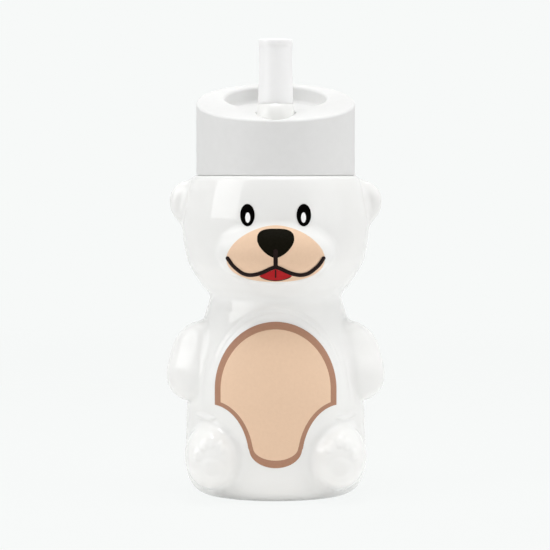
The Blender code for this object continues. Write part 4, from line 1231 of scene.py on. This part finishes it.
def seenDirectly(nodes, links):
    # 1 where the eye, a reflection or a clear material looks at the surface, 0 for the light on the bottle
    path = nodes.new("ShaderNodeLightPath")
    total = path.outputs["Is Camera Ray"]
    for ray in ("Is Glossy Ray", "Is Transmission Ray"):
        either = nodes.new("ShaderNodeMath")
        either.operation = "MAXIMUM"
        links.new(total, either.inputs[0])
        links.new(path.outputs[ray], either.inputs[1])
        total = either.outputs[0]
    return total


def plainLight(nodes, kind, colour, strength=1.0):
    shader = nodes.new(kind)
    shader.inputs["Color"].default_value = (*colour, 1.0)
    shader.inputs["Strength"].default_value = strength
    return shader.outputs[0]


def mixed(nodes, links, share, first, second):
    mix = nodes.new("ShaderNodeMixShader")
    links.new(share, mix.inputs["Fac"])
    links.new(first, mix.inputs[1])
    links.new(second, mix.inputs[2])
    return mix.outputs[0]


def makeWorld():
    world = bpy.data.worlds.new("paleStudio")
    world.use_nodes = True
    bpy.context.scene.world = world
    nodes, links = world.node_tree.nodes, world.node_tree.links
    nodes.clear()
    lit = plainLight(nodes, "ShaderNodeBackground", stage["worldColour"], stage["worldStrength"])
    shown = plainLight(nodes, "ShaderNodeBackground", stage["backdrop"])
    out = nodes.new("ShaderNodeOutputWorld")
    links.new(mixed(nodes, links, seenDirectly(nodes, links), lit, shown), out.inputs["Surface"])


def makeFloor():
    half = stage["floorHalf"]
    corners = [(-half, -half, 0.0), (half, -half, 0.0), (half, half, 0.0), (-half, half, 0.0)]
    floor = shapeObject("paleFloor", corners, [(0, 1, 2, 3)])
    material = newMaterial("paleFloor", stage["floorColour"], stage["floorRoughness"], Specular_IOR_Level=0.0)
    floor.data.materials.append(material)
    nodes, links = material.node_tree.nodes, material.node_tree.links
    # the eye sees the backdrop's own white with a small share of the lit floor, so the soft shadow stays
    share = nodes.new("ShaderNodeMath")
    share.operation = "MULTIPLY"
    share.inputs[1].default_value = 1.0 - stage["shadowShare"]
    links.new(seenDirectly(nodes, links), share.inputs[0])
    shown = plainLight(nodes, "ShaderNodeEmission", stage["backdrop"])
    bright = mixed(nodes, links, share.outputs[0], nodes["Principled BSDF"].outputs[0], shown)
    # it fades out round the bottle
    place = nodes.new("ShaderNodeTexCoord")
    length = nodes.new("ShaderNodeVectorMath")
    length.operation = "LENGTH"
    fade = nodes.new("ShaderNodeMapRange")
    fade.interpolation_type = "SMOOTHSTEP"
    for socket, value in zip(("From Min", "From Max", "To Min", "To Max"), (*stage["floorReach"], 1.0, 0.0)):
        fade.inputs[socket].default_value = value
    links.new(place.outputs["Object"], length.inputs[0])
    links.new(length.outputs["Value"], fade.inputs["Value"])
    clear = nodes.new("ShaderNodeBsdfTransparent")
    faded = mixed(nodes, links, fade.outputs["Result"], clear.outputs[0], bright)
    links.new(faded, nodes["Material Output"].inputs["Surface"])


def makeLights():
    aim = Vector(stage["aim"])
    for name, turn, rise, distance, size, watts, lit in stage["lights"]:
        turn, rise = math.radians(turn), math.radians(rise)
        away = Vector((math.sin(turn) * math.cos(rise), -math.cos(turn) * math.cos(rise), math.sin(rise)))
        light = bpy.data.lights.new(name, "AREA")
        light.shape = "RECTANGLE"
        light.size, light.size_y = size
        light.energy = watts
        lamp = bpy.data.objects.new(name, light)
        lamp.location = aim + away * distance
        lamp.rotation_euler = (-away).to_track_quat("-Z", "Y").to_euler()
        lamp.visible_glossy = lit != "colour"
        lamp.visible_diffuse = lit != "shine"
        bpy.context.scene.collection.objects.link(lamp)


def makeCamera():
    data = bpy.data.cameras.new("photoCamera")
    data.sensor_width = stage["sensor"]
    data.lens = data.sensor_width * stage["focalPixels"] / stage["picturePixels"]
    data.clip_start = stage["nearest"]
    camera = bpy.data.objects.new("photoCamera", data)
    camera.location = stage["eye"]
    camera.rotation_euler = (math.radians(90.0 - stage["pitch"]), 0.0, 0.0)
    bpy.context.scene.collection.objects.link(camera)
    bpy.context.scene.camera = camera


makeWorld()
makeFloor()
makeLights()
makeCamera()
bpy.context.scene.view_settings.view_transform = "Standard"
print("stage made")
